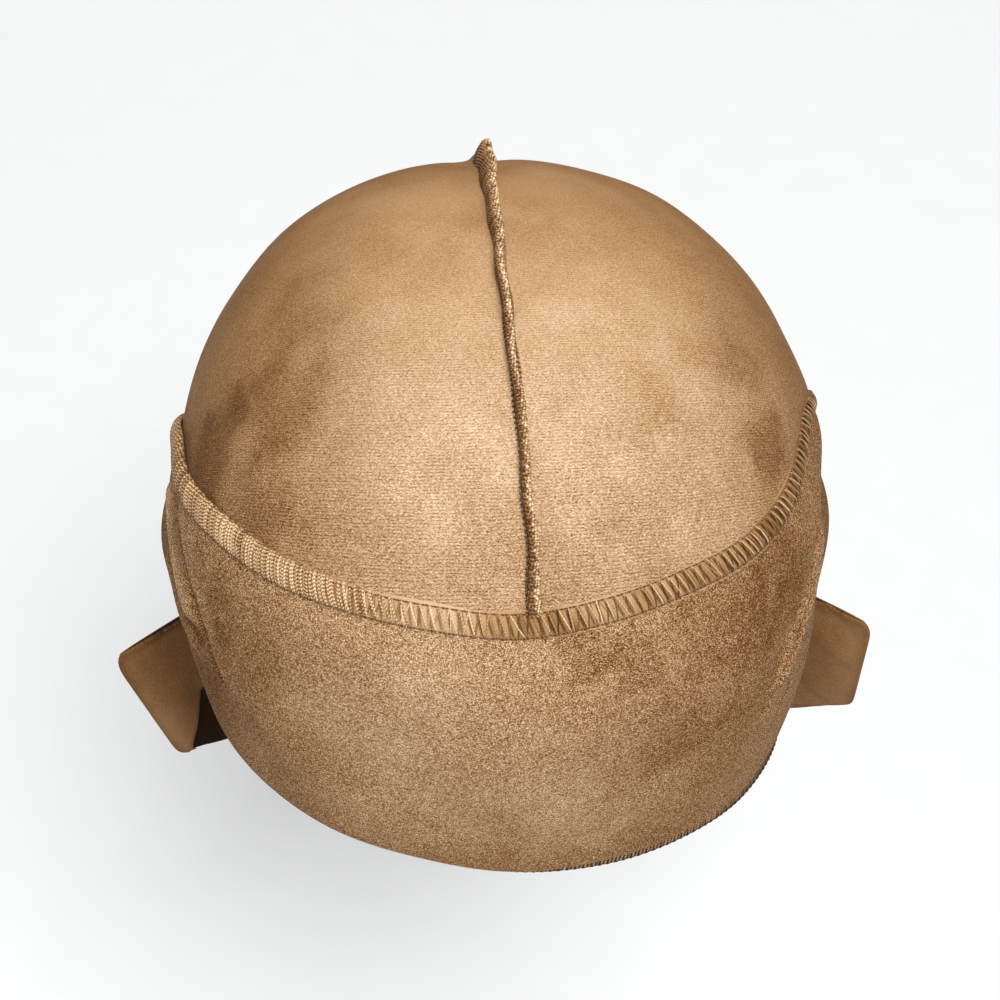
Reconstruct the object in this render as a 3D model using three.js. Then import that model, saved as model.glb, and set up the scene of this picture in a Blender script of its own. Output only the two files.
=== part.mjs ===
// A velvet durag as it sits on a head: two crown panels joined by an outside seam, a broad brow
// band gathered to a knot at the nape, a bow with two loops and two ends, and a neck cape.
// Millimetres, +Z up, the brow towards -Y. The origin is the inside of the crown at its top.
import * as THREE from "three";
import { mergeVertices } from "three/addons/utils/BufferGeometryUtils.js";

// The head form that the cloth lies on, measured from the centre of its widest level.
const HEAD = {
  halfWidth: 83.6,
  front: 94.2,
  back: 91.6,
  rise: 81.5,
  dropAtBrow: 150,
  dropAtSides: 124,
  dropAtNape: 135,
  power: 2.2,
};

// Cloth and clearances.
const CROWN_CLOTH = 1.2;
const BAND_CLOTH = 1.2;
const BOW_CLOTH = 1.5;
const CAPE_CLOTH = 1.3;
const CLEARANCE = 0.3;
const BAND_GAP = 0.45;

// Crown: the cap sits a little turned on the head, so its seam does too.
const SEAM_TURN = degrees(2.6);
const SEAM_WIDTH = 2.8;
const SEAM_END_WIDTH = 3.6;
const SEAM_END_HEIGHT = 1.3;
const SEAM_END_LENGTH = degrees(9);
const SEAM_ABOVE_BAND = 1.2;
const SEAM_LOWEST_LEVEL = -58;
const SEAM_WAVER = { depth: 0.35, turns: 19 };

// The raised crown seam by its angle from the brow over the top to the nape: how high it stands,
// and how far its top leans to the wearer's left.
const SEAM_STANDS = [
  { angle: 20, height: 3.4, lean: 0.2 },
  { angle: 60, height: 4.0, lean: 0.0 },
  { angle: 85, height: 4.4, lean: -1.4 },
  { angle: 105, height: 5.2, lean: -0.4 },
  { angle: 122, height: 5.6, lean: 2.2 },
  { angle: 140, height: 5.0, lean: 2.0 },
  { angle: 180, height: 4.2, lean: 0.4 },
  { angle: 230, height: 3.2, lean: 0.0 },
];

// The brow band round the head. Azimuth runs from the brow, positive to the wearer's left.
// Levels are heights from the head's widest level. standOff is the air under the upper edge, hangOff
// under the lower one, and gather the share of the full pleat depth.
const BAND = [
  { azimuth: -171, upper: -80, lower: -105, standOff: 1, hangOff: 0, gather: 1 },
  { azimuth: -150, upper: -60, lower: -99, standOff: 0.8, hangOff: 0, gather: 0.8 },
  { azimuth: -130, upper: -27, lower: -85, standOff: 0.8, hangOff: 0, gather: 0.4 },
  { azimuth: -110, upper: 4, lower: -68, standOff: 0.8, hangOff: 0, gather: 0.1 },
  { azimuth: -90, upper: 29, lower: -52, standOff: 0.3, hangOff: 0, gather: 0 },
  { azimuth: -75, upper: 36.5, lower: -42, standOff: 1.2, hangOff: 0, gather: 0 },
  { azimuth: -60, upper: 42.5, lower: -36, standOff: 0.6, hangOff: 0.5, gather: 0 },
  { azimuth: -45, upper: 47, lower: -31, standOff: 0, hangOff: 0.5, gather: 0 },
  { azimuth: -30, upper: 50.5, lower: -28, standOff: 0, hangOff: 0.5, gather: 0 },
  { azimuth: -15, upper: 51.8, lower: -27, standOff: 0, hangOff: 0.5, gather: 0 },
  { azimuth: 0, upper: 51.2, lower: -34, standOff: 0, hangOff: 0, gather: 0 },
  { azimuth: 15, upper: 52, lower: -35.5, standOff: 0, hangOff: 0, gather: 0 },
  { azimuth: 30, upper: 51.5, lower: -39, standOff: 0, hangOff: 0.5, gather: 0 },
  { azimuth: 45, upper: 48.5, lower: -46, standOff: 0, hangOff: 2, gather: 0 },
  { azimuth: 60, upper: 45.5, lower: -51, standOff: 0, hangOff: 4, gather: 0 },
  { azimuth: 75, upper: 42, lower: -55, standOff: 0, hangOff: 4, gather: 0 },
  { azimuth: 90, upper: 34, lower: -59, standOff: 0, hangOff: 3, gather: 0 },
  { azimuth: 110, upper: 6, lower: -68, standOff: 0.8, hangOff: 0.8, gather: 0.1 },
  { azimuth: 130, upper: -27, lower: -85, standOff: 0.8, hangOff: 0, gather: 0.4 },
  { azimuth: 150, upper: -60, lower: -99, standOff: 0.8, hangOff: 0, gather: 0.8 },
  { azimuth: 171, upper: -80, lower: -105, standOff: 1, hangOff: 0, gather: 1 },
];
const BAND_END = degrees(171);
const STAND_OFF_FROM = 0.55;
const HANG_OFF_BELOW = 0.5;
const GATHER = { folds: 3, depth: 2.2 };

// Where the band passes over the tops of the ears.
const EAR_SWELLINGS = [
  { azimuth: -98, level: -22, swell: 7.0, reach: 19, height: 20 },
  { azimuth: 98, level: -28, swell: 8.0, reach: 19, height: 22 },
];

// The flat seam along the band's upper edge and the overlocked hem under its lower edge.
const BAND_SEAM = { width: 6.4, thickness: 0.8, end: degrees(140) };
const BROW_HEM = { depth: 2.0, gap: 0.7, thickness: 1.2, end: degrees(112) };
const HEM_SHOWING = [
  { azimuth: -112, below: 1.0, flare: 0.0 },
  { azimuth: -48, below: 1.2, flare: 0.3 },
  { azimuth: -30, below: 0.3, flare: 0.0 },
  { azimuth: -5, below: 0.4, flare: 0.0 },
  { azimuth: 15, below: 1.4, flare: 0.2 },
  { azimuth: 40, below: 2.6, flare: 1.8 },
  { azimuth: 60, below: 3.5, flare: 4.5 },
  { azimuth: 80, below: 3.5, flare: 4.5 },
  { azimuth: 112, below: 1.0, flare: 0.0 },
];

// The knot at the nape: a block with rounded corners, flattened at its sides and below, and creased.
const KNOT = {
  level: -92,
  halfWidth: 16,
  halfDepth: 11,
  halfHeight: 15,
  power: 3,
  flat: 3,
  creaseDepth: 0.9,
  creaseTurns: 14.4,
};

// Bow loops: how they leave the knot and stand open, and where the outer fold's two corners lie.
const BOW = {
  rootHeight: 22,
  rootBehind: 2,
  fanOut: 1.15,
  fold: 1.3,
  open: 6,
  openPower: 0.8,
  pleat: 0.9,
  pleats: 2,
  pleatFrom: 8,
  bulge: 3,
  droop: 8,
  sag: 20,
  outward: [0.35, 0.94],
};
const LOOPS = [
  { name: "bow_loop_right", side: -1, top: [-118, 34, -114], bottom: [-103, 36, -174] },
  { name: "bow_loop_left", side: 1, top: [122.5, 32, -108], bottom: [124, 36, -158] },
];

// Bow ends that hang behind the neck.
const TAIL = {
  rootWidth: 12,
  width: 44,
  widensBy: 2.2,
  outward: 0.3,
  length: 168,
  slant: 12,
  apart: 1.2,
  behind: 3,
  wave: 3.0,
  waveFrom: 3,
  waveFade: 0.5,
};
const TAILS = [
  { name: "tail_right", side: -1, lean: degrees(9) },
  { name: "tail_left", side: 1, lean: degrees(12) },
];

// The cape below the crown's back edge.
const CAPE = {
  halfAngle: degrees(42),
  bottomLevel: -238,
  seamGap: 0.8,
  tuck: 7,
  rows: 8,
  flare: 0.3,
  folds: 3,
  foldDepth: 3.0,
  foldFrom: 1.5,
  stand: 3.0,
  standBy: 2,
};

// Faces along and across each piece.
const FACES = {
  crown: [28, 14],
  crownSeam: 52,
  band: [62, 12],
  bandSeam: [58, 1],
  hem: [48, 1],
  knot: [22, 12],
  loop: [30, 5],
  tail: [12, 6],
  cape: [20, CAPE.rows],
};

function degrees(value) {
  return (value * Math.PI) / 180;
}

function blend(a, b, t) {
  return a + (b - a) * t;
}

function ease(t) {
  const clamped = Math.min(1, Math.max(0, t));
  return clamped * clamped * (3 - 2 * clamped);
}

// Reads a column of a table whose key column rises from row to row.
function readTable(table, key, column, at) {
  if (at <= table[0][key]) return table[0][column];
  const last = table.length - 1;
  if (at >= table[last][key]) return table[last][column];
  const next = table.findIndex((row) => row[key] >= at);
  const low = table[next - 1];
  const high = table[next];
  const t = (at - low[key]) / (high[key] - low[key]);
  const before = table[Math.max(0, next - 2)];
  const after = table[Math.min(last, next + 1)];
  const slopeLow = (high[column] - before[column]) / (high[key] - before[key]);
  const slopeHigh = (after[column] - low[column]) / (after[key] - low[key]);
  const span = high[key] - low[key];
  const t2 = t * t;
  const t3 = t2 * t;
  return (2 * t3 - 3 * t2 + 1) * low[column] + (t3 - 2 * t2 + t) * span * slopeLow
    + (3 * t2 - 2 * t3) * high[column] + (t3 - t2) * span * slopeHigh;
}

// The head form.
function headDrop(azimuth) {
  const ahead = Math.cos(azimuth);
  const middle = blend(HEAD.dropAtBrow, HEAD.dropAtNape, (1 - ahead) / 2);
  return blend(HEAD.dropAtSides, middle, ahead * ahead);
}

function headLength(y) {
  return y < 0 ? HEAD.front : HEAD.back;
}

function headReach(azimuth) {
  const across = Math.abs(Math.sin(azimuth)) / HEAD.halfWidth;
  const along = Math.abs(Math.cos(azimuth)) / headLength(-Math.cos(azimuth));
  return (across ** HEAD.power + along ** HEAD.power) ** (-1 / HEAD.power);
}

function headAtLevel(azimuth, level) {
  const height = level > 0 ? HEAD.rise : headDrop(azimuth);
  const shrink = (1 - (Math.abs(level) / height) ** HEAD.power) ** (1 / HEAD.power);
  const reach = headReach(azimuth) * shrink;
  return new THREE.Vector3(Math.sin(azimuth) * reach, -Math.cos(azimuth) * reach, level);
}

function headAtClimb(azimuth, climb) {
  const height = climb > 0 ? HEAD.rise : headDrop(azimuth);
  const flat = Math.abs(Math.cos(climb)) / headReach(azimuth);
  const up = Math.abs(Math.sin(climb)) / height;
  const distance = (flat ** HEAD.power + up ** HEAD.power) ** (-1 / HEAD.power);
  const reach = Math.cos(climb) * distance;
  return new THREE.Vector3(Math.sin(azimuth) * reach, -Math.cos(azimuth) * reach, Math.sin(climb) * distance);
}

function headNormal(point, azimuth) {
  const height = point.z > 0 ? HEAD.rise : headDrop(azimuth);
  const slope = (value, size) => (Math.sign(value) * Math.abs(value / size) ** (HEAD.power - 1)) / size;
  return new THREE.Vector3(
    slope(point.x, HEAD.halfWidth),
    slope(point.y, headLength(point.y)),
    slope(point.z, height),
  ).normalize();
}

function offHead(point, azimuth, distance) {
  return point.clone().addScaledVector(headNormal(point, azimuth), distance);
}

// Closes a mesh: merges its shared points, drops empty triangles and turns its faces outwards.
function closedGeometry(positions, triangles) {
  let geometry = new THREE.BufferGeometry();
  geometry.setAttribute("position", new THREE.Float32BufferAttribute(positions, 3));
  geometry.setIndex(triangles);
  geometry = mergeVertices(geometry, 0.001);
  const corners = Array.from(geometry.index.array);
  const kept = [];
  let volume = 0;
  const a = new THREE.Vector3();
  const b = new THREE.Vector3();
  const c = new THREE.Vector3();
  for (let i = 0; i < corners.length; i += 3) {
    const [p, q, r] = corners.slice(i, i + 3);
    if (p === q || q === r || r === p) continue;
    kept.push(p, q, r);
    a.fromBufferAttribute(geometry.attributes.position, p);
    b.fromBufferAttribute(geometry.attributes.position, q);
    c.fromBufferAttribute(geometry.attributes.position, r);
    volume += a.dot(b.cross(c));
  }
  geometry.setIndex(volume < 0 ? kept.reverse() : kept);
  geometry.computeVertexNormals();
  return geometry;
}

// A piece of cloth as a solid: its outer face, its inner face and the rim that joins them.
function sheetGeometry([columns, rows], outer, inner) {
  const positions = [];
  for (const face of [outer, inner]) {
    for (let i = 0; i <= columns; i += 1) {
      for (let j = 0; j <= rows; j += 1) {
        positions.push(...face(i / columns, j / rows).toArray());
      }
    }
  }
  const at = (side, i, j) => (side * (columns + 1) + i) * (rows + 1) + j;
  const triangles = [];
  const quad = (p, q, r, s) => triangles.push(p, q, r, p, r, s);
  for (let i = 0; i < columns; i += 1) {
    for (let j = 0; j < rows; j += 1) {
      quad(at(0, i, j), at(0, i + 1, j), at(0, i + 1, j + 1), at(0, i, j + 1));
      quad(at(1, i, j), at(1, i, j + 1), at(1, i + 1, j + 1), at(1, i + 1, j));
    }
    quad(at(0, i + 1, 0), at(0, i, 0), at(1, i, 0), at(1, i + 1, 0));
    quad(at(0, i, rows), at(0, i + 1, rows), at(1, i + 1, rows), at(1, i, rows));
  }
  for (let j = 0; j < rows; j += 1) {
    quad(at(0, 0, j), at(0, 0, j + 1), at(1, 0, j + 1), at(1, 0, j));
    quad(at(0, columns, j + 1), at(0, columns, j), at(1, columns, j), at(1, columns, j + 1));
  }
  return closedGeometry(positions, triangles);
}

// A sheet of one thickness about a middle surface.
function clothGeometry(faces, middle, thickness) {
  const step = 0.002;
  const normal = (u, v) => {
    const along = middle(Math.min(1, u + step), v).sub(middle(Math.max(0, u - step), v));
    const across = middle(u, Math.min(1, v + step)).sub(middle(u, Math.max(0, v - step)));
    return along.cross(across).normalize();
  };
  const face = (side) => (u, v) => middle(u, v).addScaledVector(normal(u, v), (side * thickness) / 2);
  return sheetGeometry(faces, face(1), face(-1));
}

// A closed strip with one section at every station along its way.
function stripGeometry(stations, corners, place) {
  const positions = [];
  for (let i = 0; i <= stations; i += 1) {
    for (let k = 0; k < corners; k += 1) positions.push(...place(i / stations, k).toArray());
  }
  const at = (i, k) => i * corners + (k % corners);
  const triangles = [];
  for (let i = 0; i < stations; i += 1) {
    for (let k = 0; k < corners; k += 1) {
      triangles.push(at(i, k), at(i + 1, k), at(i + 1, k + 1), at(i, k), at(i + 1, k + 1), at(i, k + 1));
    }
  }
  for (let k = 1; k < corners - 1; k += 1) {
    triangles.push(at(0, 0), at(0, k), at(0, k + 1));
    triangles.push(at(stations, 0), at(stations, k + 1), at(stations, k));
  }
  return closedGeometry(positions, triangles);
}

// The brow band's shape.
function bandValue(column, azimuth) {
  return readTable(BAND, "azimuth", column, THREE.MathUtils.radToDeg(azimuth));
}

function earSwell(azimuth, level) {
  let swell = 0;
  for (const ear of EAR_SWELLINGS) {
    const along = THREE.MathUtils.radToDeg(azimuth) - ear.azimuth;
    const spread = Math.exp(-((along / ear.reach) ** 2) - ((level - ear.level) / ear.height) ** 2);
    swell += ear.swell * spread;
  }
  return swell;
}

// How far the band's inner face lies off the head, at a share of its width from the lower edge.
function bandLift(azimuth, share) {
  const level = blend(bandValue("lower", azimuth), bandValue("upper", azimuth), share);
  const standOff = bandValue("standOff", azimuth) * ease((share - STAND_OFF_FROM) / (1 - STAND_OFF_FROM));
  const hangOff = bandValue("hangOff", azimuth) * ease((HANG_OFF_BELOW - share) / HANG_OFF_BELOW);
  const gather = bandValue("gather", azimuth) * GATHER.depth;
  const folds = gather * (0.5 - 0.5 * Math.cos(share * GATHER.folds * 2 * Math.PI));
  return CROWN_CLOTH + BAND_GAP + standOff + hangOff + folds + earSwell(azimuth, level);
}

function bandPoint(azimuth, share, above) {
  const level = blend(bandValue("lower", azimuth), bandValue("upper", azimuth), share);
  const point = headAtLevel(azimuth, level);
  return offHead(point, azimuth, bandLift(azimuth, share) + above);
}

function crownEdgeLevel(azimuth) {
  const turned = THREE.MathUtils.euclideanModulo(azimuth + Math.PI, 2 * Math.PI) - Math.PI;
  return bandValue("lower", turned) + BROW_HEM.depth + BROW_HEM.gap;
}

function acrossSeam() {
  return new THREE.Vector3(Math.cos(SEAM_TURN), Math.sin(SEAM_TURN), 0);
}

// The crown panels, from the hem to the top, on either side of the seam.
function crownPanel(side) {
  const aside = acrossSeam().multiplyScalar((side * CLEARANCE) / 2);
  const face = (lift) => (u, v) => {
    const azimuth = SEAM_TURN + side * u * Math.PI;
    const edge = headAtLevel(azimuth, crownEdgeLevel(azimuth));
    const lowest = Math.atan2(edge.z, Math.hypot(edge.x, edge.y));
    const point = headAtClimb(azimuth, blend(lowest, Math.PI / 2, v));
    return offHead(point, azimuth, lift).add(aside);
  };
  return sheetGeometry(FACES.crown, face(CROWN_CLOTH), face(0));
}

// The raised seam: an overlocked ridge from the brow band over the top to the nape.
function crownSeam() {
  const start = bandValue("upper", SEAM_TURN) + SEAM_ABOVE_BAND;
  const first = headAtLevel(SEAM_TURN, start);
  const last = headAtLevel(SEAM_TURN + Math.PI, SEAM_LOWEST_LEVEL);
  const from = Math.atan2(first.z, Math.hypot(first.x, first.y));
  const to = Math.PI - Math.atan2(last.z, Math.hypot(last.x, last.y));
  const across = acrossSeam();
  const section = [
    [-0.5, 0.0],
    [0.5, 0.0],
    [0.42, 0.62],
    [0.16, 1.0],
    [-0.16, 1.0],
    [-0.42, 0.62],
  ];
  return stripGeometry(FACES.crownSeam, section.length, (t, k) => {
    const angle = blend(from, to, t);
    const flat = ease((angle - from) / SEAM_END_LENGTH);
    const turned = THREE.MathUtils.radToDeg(angle);
    const tall = readTable(SEAM_STANDS, "angle", "height", turned);
    const height = blend(SEAM_END_HEIGHT, tall, flat);
    const width = blend(SEAM_END_WIDTH, SEAM_WIDTH, flat);
    const behind = angle > Math.PI / 2;
    const azimuth = behind ? SEAM_TURN + Math.PI : SEAM_TURN;
    const climb = behind ? Math.PI - angle : angle;
    const waver = SEAM_WAVER.depth * Math.sin(angle * SEAM_WAVER.turns);
    const lean = flat * (readTable(SEAM_STANDS, "angle", "lean", turned) + waver);
    const [side, up] = section[k];
    const lifted = offHead(headAtClimb(azimuth, climb), azimuth, CROWN_CLOTH + CLEARANCE + up * height);
    return lifted.addScaledVector(across, side * width + lean * up);
  });
}

function browBand() {
  const face = (above) => (u, v) => bandPoint(blend(-BAND_END, BAND_END, u), v, above);
  return sheetGeometry(FACES.band, face(BAND_CLOTH), face(0));
}

// The flat seam lies on the band's outer face along the upper edge.
function bandSeam() {
  const face = (above) => (u, v) => {
    const azimuth = blend(-BAND_SEAM.end, BAND_SEAM.end, u);
    const upper = bandValue("upper", azimuth);
    const rise = Math.sqrt(1 - headNormal(headAtLevel(azimuth, upper), azimuth).z ** 2);
    const share = 1 - ((1 - v) * BAND_SEAM.width * rise) / (upper - bandValue("lower", azimuth));
    return bandPoint(azimuth, share, BAND_CLOTH + above);
  };
  return sheetGeometry(FACES.bandSeam, face(CLEARANCE + BAND_SEAM.thickness), face(CLEARANCE));
}

function browHem() {
  const face = (lift) => (u, v) => {
    const azimuth = blend(-BROW_HEM.end, BROW_HEM.end, u);
    const turned = THREE.MathUtils.radToDeg(azimuth);
    const showing = readTable(HEM_SHOWING, "azimuth", "below", turned);
    const flare = readTable(HEM_SHOWING, "azimuth", "flare", turned) * (1 - v);
    const level = bandValue("lower", azimuth) + blend(-showing, BROW_HEM.depth, v);
    return offHead(headAtLevel(azimuth, level), azimuth, lift + flare);
  };
  return sheetGeometry(FACES.hem, face(BROW_HEM.thickness), face(0));
}

// The knot sits behind the nape, against the pleats that run in under it.
function knotCentre() {
  const swellAt = (x, z) => {
    const part = Math.abs(x / KNOT.halfWidth) ** KNOT.power + Math.abs(z / KNOT.halfHeight) ** KNOT.power;
    return part < 1 ? KNOT.halfDepth * (1 - part) ** (1 / KNOT.power) : -Infinity;
  };
  const shareStep = 1 / 24;
  const turnStep = degrees(2);
  let y = 0;
  for (let share = 0; share <= 1; share += shareStep) {
    for (let steps = 0; steps <= 3; steps += 1) {
      const pleat = bandPoint(BAND_END - steps * turnStep, share, BAND_CLOTH);
      y = Math.max(y, pleat.y + CLEARANCE + swellAt(pleat.x, pleat.z - KNOT.level));
    }
  }
  return new THREE.Vector3(0, y, KNOT.level);
}

function knot() {
  const centre = knotCentre();
  const ball = new THREE.SphereGeometry(1, ...FACES.knot);
  const points = ball.attributes.position;
  const sizes = [KNOT.halfWidth, KNOT.halfDepth, KNOT.halfHeight];
  const positions = [];
  for (let i = 0; i < points.count; i += 1) {
    const direction = new THREE.Vector3().fromBufferAttribute(points, i).normalize();
    const parts = direction.toArray().map((part, axis) => Math.abs(part / sizes[axis]) ** KNOT.power);
    const radius = (parts[0] + parts[1] + parts[2]) ** (-1 / KNOT.power);
    const across = 1 - Math.abs(direction.x);
    const crease = KNOT.creaseDepth * across * Math.cos(KNOT.creaseTurns * direction.z);
    const point = direction.multiplyScalar(radius - Math.abs(crease));
    const side = KNOT.halfWidth - KNOT.flat;
    point.x = THREE.MathUtils.clamp(point.x, -side, side);
    point.z = Math.max(point.z, KNOT.flat - KNOT.halfHeight);
    positions.push(...point.add(centre).toArray());
  }
  return closedGeometry(positions, Array.from(ball.index.array));
}

// A loop of the bow: the strap goes out from the knot to the fold and comes back.
function bowLoop(loop) {
  const centre = knotCentre();
  const rootX = loop.side * (KNOT.halfWidth - KNOT.flat + CLEARANCE + BOW_CLOTH);
  const root = new THREE.Vector3(rootX, centre.y + BOW.rootBehind, centre.z);
  const top = new THREE.Vector3(...loop.top);
  const bottom = new THREE.Vector3(...loop.bottom);
  const end = top.clone().add(bottom).multiplyScalar(0.5);
  const endHeight = top.clone().sub(bottom);
  const rootHeight = new THREE.Vector3(0, 0, BOW.rootHeight);
  const outward = new THREE.Vector3(loop.side * BOW.outward[0], BOW.outward[1], 0).normalize();
  const middle = (u, v) => {
    const turn = u * Math.PI;
    const reach = (1 - Math.cos(2 * turn)) / 2;
    const apart = Math.sin(2 * turn);
    const spread = Math.sign(apart) * Math.abs(apart) ** BOW.openPower;
    const open = BOW.fold * Math.cos(turn) + BOW.open * spread * Math.sqrt(Math.sin(turn));
    const pleated = (1 - reach) ** 2 * ease(reach * BOW.pleatFrom);
    const pleat = BOW.pleat * Math.cos(v * BOW.pleats * 2 * Math.PI) * pleated;
    const height = rootHeight.clone().lerp(endHeight, ease(reach * BOW.fanOut));
    const point = root.clone().lerp(end, reach).addScaledVector(height, v - 0.5);
    const middleOfLoop = Math.sin(reach * Math.PI);
    point.z -= (BOW.droop + BOW.sag * (1 - v)) * middleOfLoop;
    return point.addScaledVector(outward, pleat + BOW.bulge * middleOfLoop - open);
  };
  return clothGeometry(FACES.loop, middle, BOW_CLOTH);
}

// An end of the bow, hanging from under the knot.
function tail(end) {
  const centre = knotCentre();
  const underKnot = centre.z + KNOT.flat - KNOT.halfHeight - CLEARANCE;
  const middle = (u, v) => {
    const fall = u * TAIL.length;
    const width = blend(TAIL.rootWidth, TAIL.width, ease(u * TAIL.widensBy));
    const offset = TAIL.rootWidth / 2 + TAIL.apart + Math.sin(end.lean) * fall;
    const outward = offset + (width - TAIL.rootWidth) * TAIL.outward;
    const slant = TAIL.slant * u * end.side * (v - 0.5);
    const waved = ease(u * TAIL.waveFrom) * (1 - TAIL.waveFade * u);
    const wave = TAIL.wave * Math.sin(v * Math.PI * 2 + end.side) * waved;
    const x = end.side * outward + (v - 0.5) * width;
    return new THREE.Vector3(x, centre.y + TAIL.behind + wave, underKnot - fall * Math.cos(end.lean) - slant);
  };
  return clothGeometry(FACES.tail, middle, BOW_CLOTH);
}

// The cape: it follows the head under the band's lower edge and then falls free behind the neck.
function cape() {
  const middle = (u, v) => {
    const azimuth = Math.PI + blend(-CAPE.halfAngle, CAPE.halfAngle, u);
    const top = crownEdgeLevel(azimuth) - CAPE.seamGap;
    const row = (1 - v) * CAPE.rows;
    const tucked = Math.min(row, 1) * CAPE.tuck;
    const fall = Math.max(0, row - 1) / (CAPE.rows - 1);
    const held = offHead(headAtLevel(azimuth, top - tucked), azimuth, CAPE_CLOTH / 2);
    const folds = CAPE.foldDepth * Math.cos(u * CAPE.folds * 2 * Math.PI) * ease(fall * CAPE.foldFrom);
    const stand = CAPE.stand * Math.sin((Math.min(1, fall * CAPE.standBy) * Math.PI) / 2);
    const z = blend(held.z, CAPE.bottomLevel, fall);
    return new THREE.Vector3(held.x * (1 + CAPE.flare * fall), held.y + stand + folds, z);
  };
  return clothGeometry(FACES.cape, middle, CAPE_CLOTH);
}

// The finishes.
const VELVET = new THREE.MeshStandardMaterial({ color: 0xb98d5f, roughness: 0.9, metalness: 0 });
const VELVET_SHADE = new THREE.MeshStandardMaterial({ color: 0x7d5c3f, roughness: 0.9, metalness: 0 });
const THREAD = new THREE.MeshStandardMaterial({ color: 0x9a7443, roughness: 0.8, metalness: 0 });

function piece(name, geometry, material) {
  const mesh = new THREE.Mesh(geometry, material);
  mesh.name = name;
  return mesh;
}

const crown = new THREE.Group();
crown.add(
  piece("crown_left", crownPanel(1), VELVET),
  piece("crown_right", crownPanel(-1), VELVET),
  piece("crown_seam", crownSeam(), THREAD),
);

const band = new THREE.Group();
band.add(
  piece("brow_band", browBand(), VELVET),
  piece("band_seam", bandSeam(), THREAD),
  piece("brow_hem", browHem(), THREAD),
);

const bow = new THREE.Group();
bow.add(piece("knot", knot(), VELVET_SHADE));
for (const loop of LOOPS) bow.add(piece(loop.name, bowLoop(loop), VELVET_SHADE));
for (const end of TAILS) bow.add(piece(end.name, tail(end), VELVET_SHADE));

const durag = new THREE.Group();
durag.position.z = -HEAD.rise;
durag.add(crown, band, bow, piece("cape", cape(), VELVET_SHADE));

export default durag;
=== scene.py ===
"""The looks of a velvet durag as it sits on a head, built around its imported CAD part.

Shapes are worked out in millimetres from the centre of the head's widest level, with the brow
towards -Y and the wearer's left towards +X, and are put into the part's frame when a mesh is made.
"""

import logging
import math
from collections.abc import Callable, Sequence
from dataclasses import dataclass, field
from enum import Enum

import bpy
import numpy as np
from mathutils import Matrix, Vector


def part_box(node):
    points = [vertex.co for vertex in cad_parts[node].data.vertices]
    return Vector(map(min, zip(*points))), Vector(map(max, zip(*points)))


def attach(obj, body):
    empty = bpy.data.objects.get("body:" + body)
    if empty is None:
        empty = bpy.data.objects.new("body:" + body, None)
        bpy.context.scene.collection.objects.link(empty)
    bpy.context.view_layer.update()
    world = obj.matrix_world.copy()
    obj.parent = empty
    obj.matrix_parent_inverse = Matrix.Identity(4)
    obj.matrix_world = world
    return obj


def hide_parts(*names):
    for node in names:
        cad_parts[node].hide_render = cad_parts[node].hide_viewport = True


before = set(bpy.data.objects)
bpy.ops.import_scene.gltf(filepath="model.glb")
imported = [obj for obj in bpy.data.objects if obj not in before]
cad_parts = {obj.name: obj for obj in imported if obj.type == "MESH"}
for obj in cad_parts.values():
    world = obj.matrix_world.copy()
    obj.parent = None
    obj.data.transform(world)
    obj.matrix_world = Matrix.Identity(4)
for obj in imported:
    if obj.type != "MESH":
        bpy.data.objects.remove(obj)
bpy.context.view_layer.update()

Array = np.ndarray
Colour = tuple[float, float, float]
Socket = bpy.types.NodeSocket

# A closed form: its points, its faces in one or more groups, and each point's weave and nap.
# The nap is a lightness which on some pieces also holds painted light and shade.
Form = tuple[Array, Array | list[Array], Array, Array]

log = logging.getLogger("durag")

# A millimetre in metres, and how far the top of the head is above its widest level, in mm.
MM = 0.001
RISE = 81.5
FULL_TURN = 2 * math.pi


def ease(t: Array | float) -> Array:
    """A smooth step from 0 to 1.

    Args:
        t: Where on the step, taken as 0 below 0 and as 1 above 1.

    Returns:
        The height of the step there.
    """
    held = np.clip(t, 0.0, 1.0)
    return held * held * (3 - 2 * held)


def blend(a: Array | float, b: Array | float, t: Array | float) -> Array:
    """The value a share t of the way from a to b."""
    return a + (b - a) * t


def mound(distance: Array, reach: float | Array) -> Array:
    """A soft mound of height 1 that fades out over reach."""
    return np.exp(-((distance / reach) ** 2))


def unit(vectors: Array) -> Array:
    """The vectors at length 1."""
    return vectors / np.maximum(np.linalg.norm(vectors, axis=-1, keepdims=True), 1e-9)


def radians(degrees: float | Array) -> Array:
    """Degrees as radians."""
    return np.radians(degrees)


@dataclass(frozen=True)
class Table:
    """Values given at a few places and read smoothly in between."""

    rows: tuple[tuple[float, float], ...]

    def at(self, where: Array | float) -> Array:
        """Reads the table.

        Args:
            where: The places to read it at.

        Returns:
            The values there, held at the ends.
        """
        keys, values = np.array(self.rows, float).T
        held = np.clip(np.asarray(where, float), keys[0], keys[-1])
        high = np.clip(np.searchsorted(keys, held), 1, len(keys) - 1)
        low = high - 1
        before, after = np.maximum(low - 1, 0), np.minimum(high + 1, len(keys) - 1)
        span = keys[high] - keys[low]
        t = (held - keys[low]) / span
        slope_low = (values[high] - values[before]) / (keys[high] - keys[before])
        slope_high = (values[after] - values[low]) / (keys[after] - keys[low])
        t2, t3 = t * t, t * t * t
        return (
            (2 * t3 - 3 * t2 + 1) * values[low]
            + (t3 - 2 * t2 + t) * span * slope_low
            + (3 * t2 - 2 * t3) * values[high]
            + (t3 - t2) * span * slope_high
        )


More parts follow.
